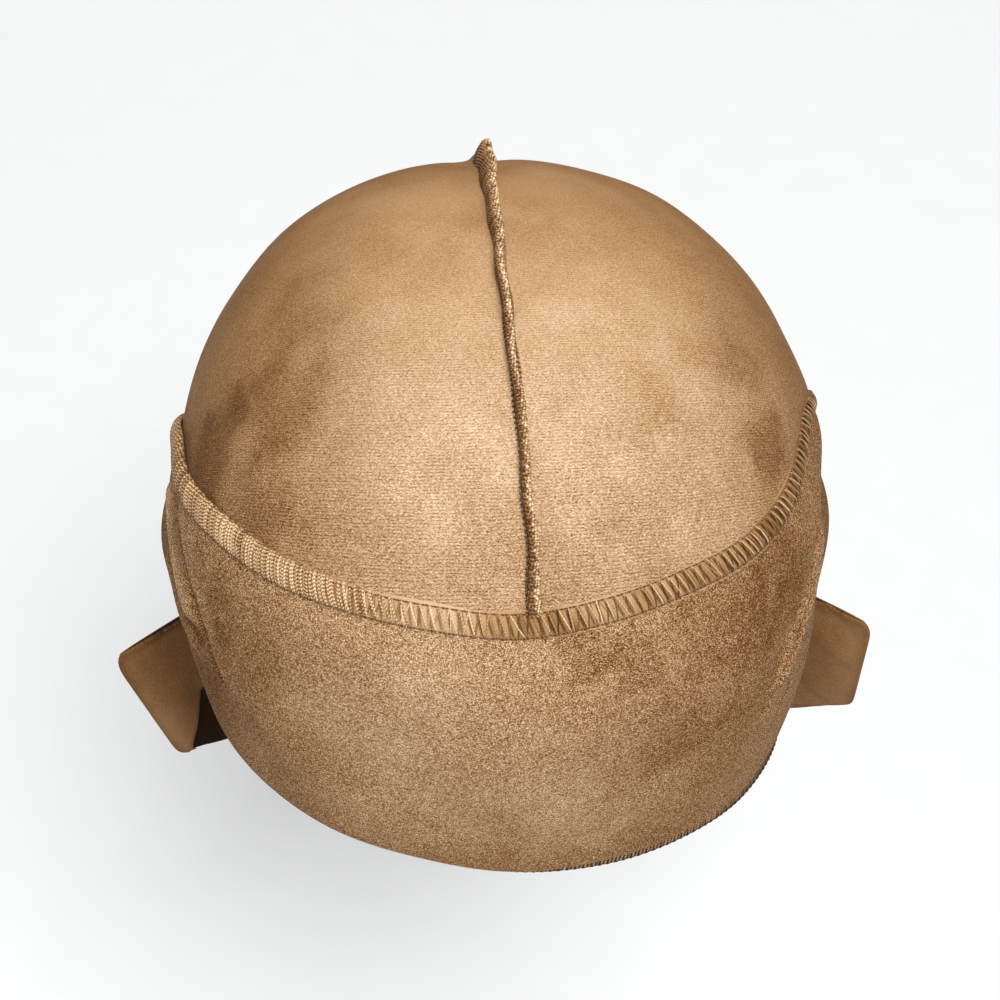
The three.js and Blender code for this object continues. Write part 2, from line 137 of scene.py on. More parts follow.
class Ripples:
    """Smooth seeded unevenness: waves of random direction and of lengths between two limits."""

    def __init__(self, seed: int, shortest: float, longest: float, count: int = 28) -> None:
        """Draws the waves.

        Args:
            seed: The seed that the draws start from.
            shortest: The shortest wave, in mm.
            longest: The longest wave, in mm.
            count: How many waves are summed.
        """
        draw = np.random.default_rng(seed)
        lengths = np.exp(draw.uniform(math.log(shortest), math.log(longest), count))
        self.waves = unit(draw.normal(size=(count, 3))) * (FULL_TURN / lengths)[:, None]
        self.starts = draw.uniform(0, FULL_TURN, count)
        self.height = math.sqrt(2 / count)

    def at(self, points: Array) -> Array:
        """The unevenness at points, about 0 and mostly within 2 either way.

        Args:
            points: The places, in mm.

        Returns:
            The sum of the waves at each place.
        """
        total = np.zeros(points.shape[:-1])
        for wave, start in zip(self.waves, self.starts):
            total += np.cos(points @ wave + start)
        return total * self.height


@dataclass(frozen=True)
class Hollow:
    """A shallow hollow in the head, or a swell where its depth is below 0.

    It lies about an azimuth in degrees and a level. Its depth and its reach are in mm.
    """

    azimuth: float
    level: float
    depth: float
    reach: float


@dataclass(frozen=True)
class HeadForm:
    """The head's surface, measured from the centre of its widest level, in mm."""

    half_width: float = 83.6
    front: float = 94.2
    back: float = 91.6
    rise: float = RISE
    drop_at_brow: float = 150.0
    drop_at_sides: float = 124.0
    drop_at_nape: float = 135.0
    power: float = 2.2
    hollows: tuple[Hollow, ...] = (
        Hollow(83, 20, 2.0, 22),
        Hollow(67, -4, 1.1, 22),
        Hollow(92, 28, -2.3, 15),
    )

    def drop(self, azimuth: Array) -> Array:
        """How far the head goes on below its widest level, by azimuth.

        Args:
            azimuth: Azimuths, in radians.

        Returns:
            The depths, in mm.
        """
        ahead = np.cos(azimuth)
        middle = blend(self.drop_at_brow, self.drop_at_nape, (1 - ahead) / 2)
        return blend(self.drop_at_sides, middle, ahead * ahead)

    def length(self, y: Array) -> Array:
        """The head's half length before or behind its middle."""
        return np.where(y < 0, self.front, self.back)

    def reach(self, azimuth: Array) -> Array:
        """How far the widest level reaches from the middle, by azimuth.

        Args:
            azimuth: Azimuths, in radians.

        Returns:
            The distances, in mm.
        """
        across = np.abs(np.sin(azimuth)) / self.half_width
        along = np.abs(np.cos(azimuth)) / self.length(-np.cos(azimuth))
        return (across**self.power + along**self.power) ** (-1 / self.power)

    def at_level(self, azimuth: Array, level: Array) -> Array:
        """Points on the head at azimuths and at levels above its widest level.

        Args:
            azimuth: Azimuths, in radians.
            level: Levels, in mm, below 0 under the widest one.

        Returns:
            The points, in mm.
        """
        azimuth, level = np.broadcast_arrays(azimuth, level)
        height = np.where(level > 0, self.rise, self.drop(azimuth))
        share = np.clip(np.abs(level) / height, 0, 0.9999)
        reach = self.reach(azimuth) * (1 - share**self.power) ** (1 / self.power)
        return np.stack([np.sin(azimuth) * reach, -np.cos(azimuth) * reach, level], -1)

    def along(self, directions: Array) -> Array:
        """Points on the head in directions from its middle.

        Args:
            directions: Directions of length 1.

        Returns:
            The points, in mm.
        """
        x, y, z = np.moveaxis(directions, -1, 0)
        height = np.where(z > 0, self.rise, self.drop(np.arctan2(x, -y)))
        total = (
            np.abs(x / self.half_width) ** self.power
            + np.abs(y / self.length(y)) ** self.power
            + np.abs(z / height) ** self.power
        )
        return directions * (total ** (-1 / self.power))[..., None]

    def normal(self, points: Array) -> Array:
        """The outward direction at points on the head.

        Args:
            points: Points on the head, in mm.

        Returns:
            Directions of length 1.
        """
        x, y, z = np.moveaxis(points, -1, 0)
        height = np.where(z > 0, self.rise, self.drop(np.arctan2(x, -y)))

        def slope(value: Array, size: Array | float) -> Array:
            """The form's slope along one axis."""
            return np.sign(value) * np.abs(value / size) ** (self.power - 1) / size

        parts = [slope(x, self.half_width), slope(y, self.length(y)), slope(z, height)]
        return unit(np.stack(parts, -1))

    def off(self, points: Array, distance: Array | float) -> Array:
        """Points on the head moved outwards by a distance, less the depth of the hollows there.

        Args:
            points: Points on the head, in mm.
            distance: How far to move them, in mm.

        Returns:
            The moved points, in mm.
        """
        lift = np.broadcast_to(np.asarray(distance, float), points.shape[:-1])
        for hollow in self.hollows:
            centre = self.at_level(radians(hollow.azimuth), np.asarray(hollow.level))
            apart = np.linalg.norm(points - centre, axis=-1)
            lift = lift - hollow.depth * mound(apart, hollow.reach)
        return points + self.normal(points) * lift[..., None]


HEAD = HeadForm()


class Slot(Enum):
    """The record's material slots."""

    VELVET = "velvet"
    THREAD = "thread"


class Nodes:
    """The node tree of one material, with short ways to add nodes and to join them."""

    def __init__(self, name: str) -> None:
        """Starts a material of that name with its shader.

        Args:
            name: The material's name.
        """
        self.material = bpy.data.materials.new(name)
        self.material.use_nodes = True
        self.tree = self.material.node_tree
        self.shader = self.tree.nodes["Principled BSDF"]

    def join(self, value: object, socket: Socket) -> None:
        """Links a socket to another, or sets it to a plain value.

        Args:
            value: The socket to link from, or the value.
            socket: The socket that takes it.
        """
        if isinstance(value, Socket):
            self.tree.links.new(value, socket)
        else:
            socket.default_value = value

    def attribute(self, name: str) -> bpy.types.Node:
        """Reads one of the mesh's own attributes.

        Args:
            name: The attribute's name.

        Returns:
            The node that reads it.
        """
        node = self.tree.nodes.new("ShaderNodeAttribute")
        node.attribute_name = name
        return node

    def math(self, operation: str, *values: object) -> Socket:
        """Adds a sum on numbers and returns its result.

        Args:
            operation: The kind of sum.
            values: What goes into it, in order.

        Returns:
            The socket with the result.
        """
        node = self.tree.nodes.new("ShaderNodeMath")
        node.operation = operation
        for value, socket in zip(values, node.inputs):
            self.join(value, socket)
        return node.outputs[0]

    def add(self, *values: object) -> Socket:
        """Adds up several numbers.

        Args:
            values: The numbers, as sockets or plain.

        Returns:
            The socket with the total.
        """
        total = values[0]
        for value in values[1:]:
            total = self.math("ADD", total, value)
        return total

    def times(self, value: object, factor: object) -> Socket:
        """Multiplies two numbers."""
        return self.math("MULTIPLY", value, factor)

    def held(self, value: object, most: float) -> Socket:
        """A number held between 0 and most."""
        return self.math("MAXIMUM", self.math("MINIMUM", value, most), 0.0)

    def split(self, vector: Socket) -> list[Socket]:
        """The three parts of a vector.

        Args:
            vector: The vector's socket.

        Returns:
            The sockets of its parts.
        """
        node = self.tree.nodes.new("ShaderNodeSeparateXYZ")
        self.join(vector, node.inputs[0])
        return list(node.outputs)

    def vector(self, x: object, y: object, z: object) -> Socket:
        """A vector from three parts.

        Args:
            x: Its first part.
            y: Its second part.
            z: Its third part.

        Returns:
            The vector's socket.
        """
        node = self.tree.nodes.new("ShaderNodeCombineXYZ")
        for value, socket in zip((x, y, z), node.inputs):
            self.join(value, socket)
        return node.outputs[0]

    def noise(self, place: Socket, scale: float, detail: float, rough: float = 0.5) -> Socket:
        """Noise about 0.5.

        Args:
            place: The vector that it reads.
            scale: Its scale for that vector.
            detail: How many finer layers it has.
            rough: How strong the finer layers are.

        Returns:
            The noise as a number.
        """
        node = self.tree.nodes.new("ShaderNodeTexNoise")
        self.join(place, node.inputs["Vector"])
        node.inputs["Scale"].default_value = scale
        node.inputs["Detail"].default_value = detail
        node.inputs["Roughness"].default_value = rough
        return node.outputs["Fac"]

    def specks(self, place: Socket, scale: float) -> Socket:
        """Even random specks from 0 to 1, one to each small cell.

        Args:
            place: The vector that it reads.
            scale: How many cells there are to a unit.

        Returns:
            The specks as a number.
        """
        node = self.tree.nodes.new("ShaderNodeTexVoronoi")
        self.join(place, node.inputs["Vector"])
        node.inputs["Scale"].default_value = scale
        return self.split(node.outputs["Color"])[0]

    def around(self, noise: Socket, strength: float) -> Socket:
        """Noise about 0 with a strength."""
        return self.times(self.math("SUBTRACT", noise, 0.5), strength)

    def ramp(self, value: Socket, stops: Sequence[tuple[float, Colour]]) -> Socket:
        """Turns a number into a colour.

        Args:
            value: The number.
            stops: Places on the ramp and their colours.

        Returns:
            The colour.
        """
        node = self.tree.nodes.new("ShaderNodeValToRGB")
        elements = node.color_ramp.elements
        while len(elements) < len(stops):
            elements.new(0.5)
        for element, (place, colour) in zip(elements, stops):
            element.position = place
            element.color = (*colour, 1.0)
        self.join(value, node.inputs[0])
        return node.outputs["Color"]

    def relief(self, height: Socket, depth: float, strength: float) -> None:
        """Gives the shader a fine relief.

        Args:
            height: The relief's height from 0 to 1.
            depth: What a height of 1 stands for, in mm.
            strength: How much of it shows.
        """
        node = self.tree.nodes.new("ShaderNodeBump")
        node.inputs["Strength"].default_value = strength
        node.inputs["Distance"].default_value = depth * MM
        self.join(height, node.inputs["Height"])
        self.join(node.outputs[0], self.shader.inputs["Normal"])

    def set(self, **values: object) -> None:
        """Sets or links the shader's own sockets, with _ for a space in their names."""
        for name, value in values.items():
            self.join(value, self.shader.inputs[name.replace("_", " ")])


@dataclass(frozen=True)
class VelvetFinish:
    """Stretch velvet: a short mottled nap over a fine crosswise knit.

    grain, rib, sparkle and mottle are strengths, rib_pitch, speck and speck_tall sizes in mm. The
    texture is less by the share calm, from calm_from to calm_over mm further across the cloth, and
    comes back by the share back of that from calm_to on.
    """

    name: str
    tone: float = 0.0
    grain: float = 1.0
    rib: float = 1.0
    rib_pitch: float = 0.75
    clumps: float = 0.06
    furrows: float = 0.28
    dashes: float = 0.46
    hair: float = 0.32
    specks: float = 0.30
    fine_specks: float = 0.40
    speck: float = 0.30
    speck_tall: float = 0.58
    sparkle: float = 0.10
    mottle: float = 0.08
    specular: float = 0.12
    calm: float = 0.0
    calm_from: float = 12.0
    calm_over: float = 100.0
    calm_to: float = 155.0
    back: float = 0.8
    sheen: float = 0.05
    roughness: float = 0.85
    inside: float = 0.16
    colours: tuple[tuple[float, Colour], ...] = (
        (0.00, (0.082, 0.030, 0.007)),
        (0.25, (0.222, 0.098, 0.028)),
        (0.50, (0.452, 0.268, 0.127)),
        (0.75, (0.672, 0.468, 0.290)),
        (1.00, (0.945, 0.785, 0.610)),
    )

    def material(self) -> bpy.types.Material:
        """Makes the finish.

        Returns:
            A material that reads the meshes' weave and nap.
        """
        n = Nodes(self.name)
        along, across, layer = n.split(n.attribute("weave").outputs["Vector"])
        nap = n.attribute("nap").outputs["Fac"]
        place = n.vector(along, across, 0.0)
        drift = n.around(n.noise(place, 0.09, 2.0), 1.2)
        row = n.times(n.add(across, drift), FULL_TURN / self.rib_pitch)
        knit = n.math("SINE", row)
        ribbed = n.noise(n.vector(n.times(along, 0.30), n.times(across, 0.12), 3.0), 1.0, 2.0)
        ribbed = n.math("MAXIMUM", n.add(ribbed, -0.42), 0.0)
        rib = n.times(knit, n.times(ribbed, 0.16 * self.rib))
        dashes = n.noise(n.vector(n.times(along, 2.0), n.times(across, 5.4), 0.0), 1.0, 1.0)
        gaps = n.noise(n.vector(n.times(along, 1.7), n.times(across, 1.9), 7.0), 1.0, 1.0, 0.6)
        gaps = n.held(n.times(n.add(gaps, -0.44), 6.0), 1.0)
        furrows = n.times(n.math("MINIMUM", knit, 0.0), gaps)
        grain = n.noise(place, 4.2, 2.0, 0.8)
        size = 1 / self.speck
        specks = n.specks(n.vector(along, n.times(across, 1 / self.speck_tall), 0.0), size)
        fine = n.specks(n.vector(along, n.times(across, 0.8 / self.speck_tall), 5.0), 1.6 * size)
        clumps = n.noise(place, 0.55, 2.0, 0.7)
        mottle = n.noise(place, 0.045, 3.0, 0.55)
        # Sparkle: specks with a lower roughness whose colour is also lightened, a painted glint.
        sparkle = n.math("SMOOTH_MAX", n.add(n.times(specks, fine), -0.55), 0.0, 0.02)
        inside = n.times(layer, -self.inside)
        texture = n.add(
            n.around(clumps, self.clumps * self.grain),
            rib,
            n.times(furrows, self.furrows * self.rib),
            0.05 * self.rib,
            n.around(dashes, self.dashes * self.grain * self.rib),
            n.around(grain, self.hair * self.grain),
            n.around(specks, self.specks * self.grain),
            n.around(fine, self.fine_specks * self.grain),
            n.times(sparkle, self.sparkle * self.grain),
        )
        calmer = n.held(n.times(n.add(across, -self.calm_from), 1 / self.calm_over), 1.0)
        again = n.held(n.times(n.add(across, -self.calm_to), 1 / self.calm_over), self.back)
        shown = n.add(n.times(calmer, -self.calm), n.times(again, self.calm), 1.0)
        tone = n.add(
            n.times(nap, 0.5),
            0.5 + self.tone,
            n.around(mottle, self.mottle),
            n.times(texture, shown),
            inside,
        )
        rough = n.add(self.roughness, n.times(sparkle, -1.5 * self.sparkle))
        n.set(
            Base_Color=n.ramp(tone, self.colours),
            Roughness=rough,
            Specular_IOR_Level=self.specular,
            Sheen_Weight=self.sheen,
            Sheen_Roughness=0.38,
            Sheen_Tint=(0.95, 0.76, 0.55, 1.0),
        )
        height = n.add(
            n.times(grain, 0.5), n.times(dashes, 0.35), n.times(specks, 0.20), n.times(fine, 0.14)
        )
        n.relief(n.times(height, shown), 0.17 * self.grain, 0.6)
        return n.material


@dataclass(frozen=True)
class ThreadFinish:
    """Lustrous sewing thread with a visible twist."""

    name: str
    twist: float = 0.85
    colours: tuple[tuple[float, Colour], ...] = (
        (0.00, (0.052, 0.019, 0.005)),
        (0.35, (0.195, 0.088, 0.028)),
        (0.65, (0.480, 0.275, 0.115)),
        (1.00, (0.930, 0.740, 0.500)),
    )

    def material(self) -> bpy.types.Material:
        """Makes the finish.

        Returns:
            A material that reads the meshes' weave and nap.
        """
        n = Nodes(self.name)
        weave = n.attribute("weave").outputs["Vector"]
        along, around, smooth = n.split(weave)
        nap = n.attribute("nap").outputs["Fac"]
        turn = n.add(n.times(along, FULL_TURN / self.twist), around)
        # The twist's stripes are a painted highlight on each ply's crest and painted shade between,
        # over its real relief.
        ply = n.times(n.math("SINE", turn), n.add(n.times(smooth, -1.0), 1.0))
        fuzz = n.noise(weave, 3.2, 2.0, 0.8)
        tone = n.add(0.5, n.times(nap, 0.5), n.times(ply, 0.26), n.around(fuzz, 1.0))
        n.set(
            Base_Color=n.ramp(tone, self.colours),
            Roughness=n.add(0.52, n.around(fuzz, 0.3)),
            Specular_IOR_Level=0.22,
            Sheen_Weight=0.04,
            Sheen_Roughness=0.4,
            Sheen_Tint=(0.95, 0.8, 0.6, 1.0),
        )
        n.relief(n.add(n.times(ply, 0.5), n.times(fuzz, 0.6)), 0.12, 0.6)
        return n.material


def walls(number: Array, beside: Array) -> Array:
    """The four-sided faces between rows of point numbers and the rows beside them."""
    faces = np.stack([number[:, :-1], beside[:, :-1], beside[:, 1:], number[:, 1:]], -1)
    return faces.reshape(-1, 4)


@dataclass
class Cloth:
    """A sheet of cloth as two grids of points with what its finish reads at each."""

    outer: Array
    inner: Array
    weave: Array
    nap: Array

    @classmethod
    def about(
        cls,
        middle: Array,
        thickness: float,
        weave: Array,
        nap: Array | float = 0.0,
        turned: bool = False,
    ) -> "Cloth":
        """A sheet of one thickness about a middle surface.

        Args:
            middle: The middle surface's grid of points.
            thickness: The sheet's thickness, in mm.
            weave: The place of each point on the flat cloth, in mm.
            nap: The lightness at each point, from the nap and any painted light and shade.
            turned: Whether the cloth's face is on the surface's other side.

        Returns:
            The sheet.
        """
        normal = unit(np.cross(np.gradient(middle, axis=0), np.gradient(middle, axis=1)))
        half = normal * (thickness / 2 if not turned else -thickness / 2)
        lightness = np.broadcast_to(np.asarray(nap, float), middle.shape[:-1])
        return cls(middle + half, middle - half, weave, lightness)

    def solid(self, steps: int = 2) -> Form:
        """Closes the sheet with rounded edges.

        Args:
            steps: How many strips the rounding has on each face.

        Returns:
            The points, the four-sided faces, and each point's weave and nap.
        """
        columns, rows = self.outer.shape[:2]
        i = np.arange(-steps, columns + steps)
        j = np.arange(-steps, rows + steps)
        held_i, held_j = np.clip(i, 0, columns - 1), np.clip(j, 0, rows - 1)
        pick = np.ix_(held_i, held_j)
        over_i, over_j = i - held_i, j - held_j
        outer, inner = self.outer[pick], self.inner[pick]
        centre, half = (outer + inner) / 2, (outer - inner) / 2
        mid = (self.outer + self.inner) / 2
        away = (
            unit(np.gradient(mid, axis=0))[pick] * np.sign(over_i)[:, None, None]
            + unit(np.gradient(mid, axis=1))[pick] * np.sign(over_j)[None, :, None]
        )
        upright = unit(half)
        away = unit(away - upright * (away * upright).sum(-1, keepdims=True))
        over = np.maximum(np.abs(over_i)[:, None], np.abs(over_j)[None, :]) / steps
        turn = (over * math.pi / 2)[..., None]
        size = np.linalg.norm(half, axis=-1, keepdims=True)
        bulge = away * size * np.sin(turn)
        top, bottom = centre + half * np.cos(turn) + bulge, centre - half * np.cos(turn) + bulge
        wide, deep = len(i), len(j)
        number = np.arange(wide * deep).reshape(wide, deep)
        edge = np.zeros((wide, deep), bool)
        edge[[0, -1], :] = True
        edge[:, [0, -1]] = True
        below = np.where(edge, number, 0)
        below[~edge] = wide * deep + np.arange((~edge).sum())
        points = np.concatenate([top.reshape(-1, 3), bottom[~edge]])
        upper, lower = (walls(sheet[:-1], sheet[1:]) for sheet in (number, below))
        faces = np.concatenate([upper, lower[:, ::-1]])
        place = self.weave[pick]
        layers = [np.zeros(wide * deep), np.ones(int((~edge).sum()))]
        flat = np.concatenate([place.reshape(-1, 2), place[~edge]])
        weave = np.concatenate([flat, np.concatenate(layers)[:, None]], 1)
        shade = self.nap[pick]
        nap = np.concatenate([shade.reshape(-1), shade[~edge]])
        return points, faces, weave, nap


@dataclass
class Strand:
    """Threads of one kind as tubes, all with the same number of points."""

    paths: Array
    upward: Array
    radius: Array
    nap: Array
    sides: int = 6
    twist: int = 1
    smooth: float = 0.0

    def solid(self) -> Form:
        """Makes the tubes.

        Returns:
            The points, the faces, and each point's weave and nap.
        """
        count, stations = self.paths.shape[:2]
        ahead = unit(np.gradient(self.paths, axis=1))
        aside = unit(np.cross(ahead, self.upward))
        upward = np.cross(aside, ahead)
        turn = np.arange(self.sides) * FULL_TURN / self.sides
        ring = (
            aside[:, :, None] * np.cos(turn)[None, None, :, None]
            + upward[:, :, None] * np.sin(turn)[None, None, :, None]
        )
        radius = np.broadcast_to(self.radius, (count, stations))
        points = self.paths[:, :, None] + ring * radius[:, :, None, None]
        number = np.arange(count * stations * self.sides).reshape(count, stations, self.sides)
        beside = np.roll(number, -1, axis=2)
        faces = [walls(number, beside), number[:, 0, ::-1], number[:, -1]]
        steps = np.linalg.norm(np.diff(self.paths, axis=1), axis=-1)
        along = np.concatenate([np.zeros((count, 1)), np.cumsum(steps, axis=1)], 1)
        along += np.arange(count)[:, None] * 3.7
        weave = np.stack(
            [
                np.broadcast_to(along[:, :, None], number.shape),
                np.broadcast_to(turn[None, None] * self.twist, number.shape),
                np.full(number.shape, self.smooth),
            ],
            -1,
        )
        nap = np.broadcast_to(self.nap, (count, stations))
        nap = np.broadcast_to(nap[:, :, None], number.shape)
        return points.reshape(-1, 3), faces, weave.reshape(-1, 3), nap.reshape(-1)


def to_frame(points: Array) -> Array:
    """Points in mm from the head's widest level, put into the part's frame in metres."""
    return (points - np.array([0.0, 0.0, RISE])) * MM


@dataclass
class Piece:
    """A visible piece: its name, what its mesh is made of, and how it belongs to the part."""

    name: str
    slot: Slot
    replaces: tuple[str, ...] = ()

    def make(self, solids: Sequence[Form], material: bpy.types.Material) -> bpy.types.Object:
        """Makes the piece as one mesh and puts it on the part.

        Args:
            solids: Closed forms, each as its points, faces, weave and nap.
            material: The finish.

        Returns:
            The piece.
        """
        points, faces, weave, nap, start = [], [], [], [], 0
        for solid_points, solid_faces, solid_weave, solid_nap in solids:
            groups = solid_faces if isinstance(solid_faces, list) else [solid_faces]
            for group in groups:
                faces.extend((group + start).tolist())
            points.append(solid_points)
            weave.append(solid_weave)
            nap.append(solid_nap)
            start += len(solid_points)
        placed = to_frame(np.concatenate(points))
        mesh = bpy.data.meshes.new(self.name)
        mesh.from_pydata(placed.tolist(), [], faces)
        flat = mesh.attributes.new("weave", "FLOAT_VECTOR", "POINT")
        flat.data.foreach_set("vector", np.concatenate(weave).astype(np.float32).ravel())
        shade = mesh.attributes.new("nap", "FLOAT", "POINT")
        shade.data.foreach_set("value", np.concatenate(nap).astype(np.float32))
        mesh.polygons.foreach_set("use_smooth", np.ones(len(mesh.polygons), bool))
        mesh.materials.append(material)
        mesh.update()
        piece = bpy.data.objects.new(self.name, mesh)
        bpy.context.scene.collection.objects.link(piece)
        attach(piece, "root")
        if self.replaces:
            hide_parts(*self.replaces)
        area = sum(face.area for face in mesh.polygons)
        low, high = placed.min(0), placed.max(0)
        log.info(
            "%s: %d faces, %.4f m2, from %s to %s",
            self.name, len(mesh.polygons), area, low.round(4), high.round(4),
        )
        return piece


def outward(faces: Array, points: Array) -> Array:
    """Turns a closed grid's faces outwards.

    Args:
        faces: Four-sided faces.
        points: The points that they join.

    Returns:
        The faces, turned over if they faced inwards.
    """
    a, b, c, d = (points[faces[:, k]] for k in range(4))
    volume = (a * np.cross(b, c)).sum() + (a * np.cross(c, d)).sum()
    return faces[:, ::-1] if volume < 0 else faces


def closed(cloth: Cloth, steps: int = 2) -> Form:
    """A sheet as a closed form with its faces outwards."""
    points, faces, weave, nap = cloth.solid(steps)
    return points, outward(faces, points), weave, nap


def grid(columns: int, rows: int) -> tuple[Array, Array]:
    """Two grids of shares from 0 to 1, along the columns and along the rows."""
    return np.meshgrid(np.linspace(0, 1, columns), np.linspace(0, 1, rows), indexing="ij")


@dataclass(frozen=True)
class NapPatch:
    """A lighter or darker place: mostly where the nap was stroked, in a few a painted fold
    highlight.

    It lies about an azimuth and a level, reaches reach mm to its half tone, and soft is the share
    of that over which it fades. tall is how much taller it is than it is wide.
    """

    azimuth: float
    level: float
    reach: float
    tone: float
    soft: float = 0.9
    tall: float = 1.0

    def at(self, points: Array, wobble: Array) -> Array:
        """The patch's tone at points, with an unevenness for its edge.

        Args:
            points: Places on the cloth, in mm.
            wobble: How far its edge is moved in, in mm.

        Returns:
            The tone that it adds at each place.
        """
        apart = points - HEAD.at_level(radians(self.azimuth), np.asarray(self.level))
        flatter = apart[..., 2] ** 2 * (1 / self.tall**2 - 1)
        away = np.sqrt(np.maximum((apart**2).sum(-1) + flatter, 0)) + wobble
        return self.tone * (1 - ease((away - self.reach) / (2 * self.soft * self.reach) + 0.5))


@dataclass(frozen=True)
class NapField:
    """The cloth's lightness: nap patches on seeded mottling, plus painted light and shade by
    facing.
    """

    patches: tuple[NapPatch, ...]
    seed: int
    strength: float = 0.07
    painted_light_falloff: float = 0.0
    painted_light_zero: float = 0.80
    painted_light_from: tuple[float, float, float] = (0.0, -0.49, 0.87)

    def at(self, points: Array) -> Array:
        """Reads the nap.

        Args:
            points: Places on the cloth, in mm.

        Returns:
            The lightness there, 0 for plain.
        """
        wide = Ripples(self.seed, 30.0, 90.0).at(points)
        fine = Ripples(self.seed + 1, 7.0, 26.0).at(points)
        total = self.strength * (wide + 0.6 * fine)
        # Painted light and shade: lighter where the surface faces one fixed direction up and
        # forwards, darker on the sides turned away from it.
        if self.painted_light_falloff:
            facing = (HEAD.normal(points) * np.array(self.painted_light_from)).sum(-1)
            total = total + self.painted_light_falloff * (facing - self.painted_light_zero)
        wobble = 2.6 * Ripples(self.seed + 2, 9.0, 30.0).at(points)
        wobble = wobble + 0.8 * Ripples(self.seed + 3, 2.5, 8.0).at(points)
        for patch in self.patches:
            total = total + patch.at(points, wobble)
        return total


CROWN_NAP = NapField(
    (
        NapPatch(0, 79, 30, 0.28),
        NapPatch(-20, 70, 14, 0.06),
        NapPatch(18, 71, 13, 0.13),
        NapPatch(38, 59, 13, 0.13),
        NapPatch(56, 72, 11, 0.12),
        NapPatch(78, 77, 12, 0.16),
        NapPatch(-10, 54, 10, 0.14),
        NapPatch(14, 54, 10, 0.14),
        NapPatch(-88, 68, 11, -0.16),
        NapPatch(-68, 63, 12, -0.22, 0.6, 1.7),
        NapPatch(-74, 47, 10, -0.32, 0.6, 1.5),
        NapPatch(-62, 64, 5, -0.07, 0.8, 2.2),
        NapPatch(161, 75, 14, 0.12),
        NapPatch(-150, 77, 13, 0.10),
        NapPatch(-52, 50, 12, -0.34, 0.8),
        NapPatch(-33, 55, 12, -0.15, 0.9),
        NapPatch(-45, 67, 9, -0.10),
        # These three small light patches in a line are a painted highlight along a soft fold.
        NapPatch(-59, 48, 3, 0.24, 0.8),
        NapPatch(-55, 55, 3, 0.22, 0.8),
        NapPatch(-51, 61, 3, 0.16, 0.8),
        NapPatch(-22, 48, 9, 0.16),
        NapPatch(-8, 74, 8, 0.12),
        NapPatch(-4, 48, 6, 0.10),
        NapPatch(36, 49, 10, 0.10),
        NapPatch(78, 58, 7, 0.14),
        NapPatch(50, 74, 7, -0.10),
        NapPatch(10, 55, 6, -0.16),
        NapPatch(-7, 57, 6, -0.09),
        NapPatch(63, 53, 8, -0.36, 0.55),
        NapPatch(76, 62, 8, -0.26, 0.5, 1.6),
    ),
    21,
    0.032,
    # Painted light and shade by how the surface faces, as NapField.at adds it.
    painted_light_falloff=0.8,
)

BAND_NAP = NapField(
    (
        NapPatch(36, 37, 16, -0.36, 0.5),
        NapPatch(9, 41, 8, -0.34, 0.3),
        NapPatch(19, 38, 9, -0.26, 0.45),
        NapPatch(14, 25, 5, -0.14, 0.6),
        NapPatch(50, 36, 14, -0.40, 0.6),
        NapPatch(-52, 12, 20, -0.11),
        NapPatch(44, 18, 15, -0.18),
        NapPatch(22, 14, 12, -0.26, 0.5),
        NapPatch(30, 8, 13, -0.12),
        NapPatch(-52, 30, 9, -0.22, 0.6),
        NapPatch(-44, 26, 10, -0.34),
        NapPatch(-35, 22, 6, 0.12),
        NapPatch(-84, 16, 9, 0.30),
        NapPatch(-62, 12, 9, 0.16),
        NapPatch(-56, -10, 14, -0.36),
        NapPatch(-12, 34, 12, 0.16),
        NapPatch(-22, 19, 14, 0.16),
        NapPatch(-6, 2, 17, 0.27),
        NapPatch(40, 28, 6, 0.14, 0.6),
        NapPatch(7, -10, 15, 0.34, 0.7),
        NapPatch(-20, -8, 13, 0.16),
        NapPatch(66, 12, 12, 0.18),
        NapPatch(-46, -16, 8, 0.20),
    ),
    11,
    0.05,
    # Painted light and shade by how the surface faces, as NapField.at adds it.
    painted_light_falloff=0.8,
)


@dataclass(frozen=True)
class Fold:
    """A soft fold in the cloth along a line of azimuths and levels."""

    line: tuple[tuple[float, float], ...]
    height: float
    width: float
    fade: float = 7.0
    mm_per_degree: float = 1.48

    def at(self, azimuth: Array, level: Array) -> Array:
        """How far the fold lifts the cloth.

        Args:
            azimuth: Azimuths, in radians.
            level: Levels, in mm.

        Returns:
            The lift, in mm, which is negative in a crease.
        """
        here = np.stack([np.degrees(azimuth) * self.mm_per_degree, level], -1)
        line = np.array(self.line, float) * np.array([self.mm_per_degree, 1.0])
        nearest = np.full(here.shape[:-1], 1e9)
        walked = np.zeros(here.shape[:-1])
        length = 0.0
        for start, end in zip(line, line[1:]):
            step = end - start
            size = float(np.linalg.norm(step))
            share = np.clip((here - start) @ step / size**2, 0, 1)
            apart = np.linalg.norm(here - start - share[..., None] * step, axis=-1)
            closer = apart < nearest
            nearest = np.where(closer, apart, nearest)
            walked = np.where(closer, length + share * size, walked)
            length += size
        taper = ease(walked / self.fade) * ease((length - walked) / self.fade)
        return self.height * mound(nearest, self.width) * taper


@dataclass(frozen=True)
class Swell:
    """A place where an ear pushes the band out: sizes in mm, its reach to the sides in degrees."""

    azimuth: float
    level: float
    height: float
    reach: float
    over: float
    under: float
    edge: float

    def at(self, azimuth: Array, level: Array) -> Array:
        """How far the cloth is pushed out.

        Args:
            azimuth: Azimuths, in radians.
            level: Levels, in mm.

        Returns:
            The push, in mm.
        """
        apart = level - self.level
        upper = (np.abs(apart) / self.over) ** self.edge
        tall = np.where(apart > 0, upper, (apart / self.under) ** 2)
        aside = (np.degrees(azimuth) - self.azimuth) / self.reach
        return self.height * np.exp(-(aside**2) - tall)


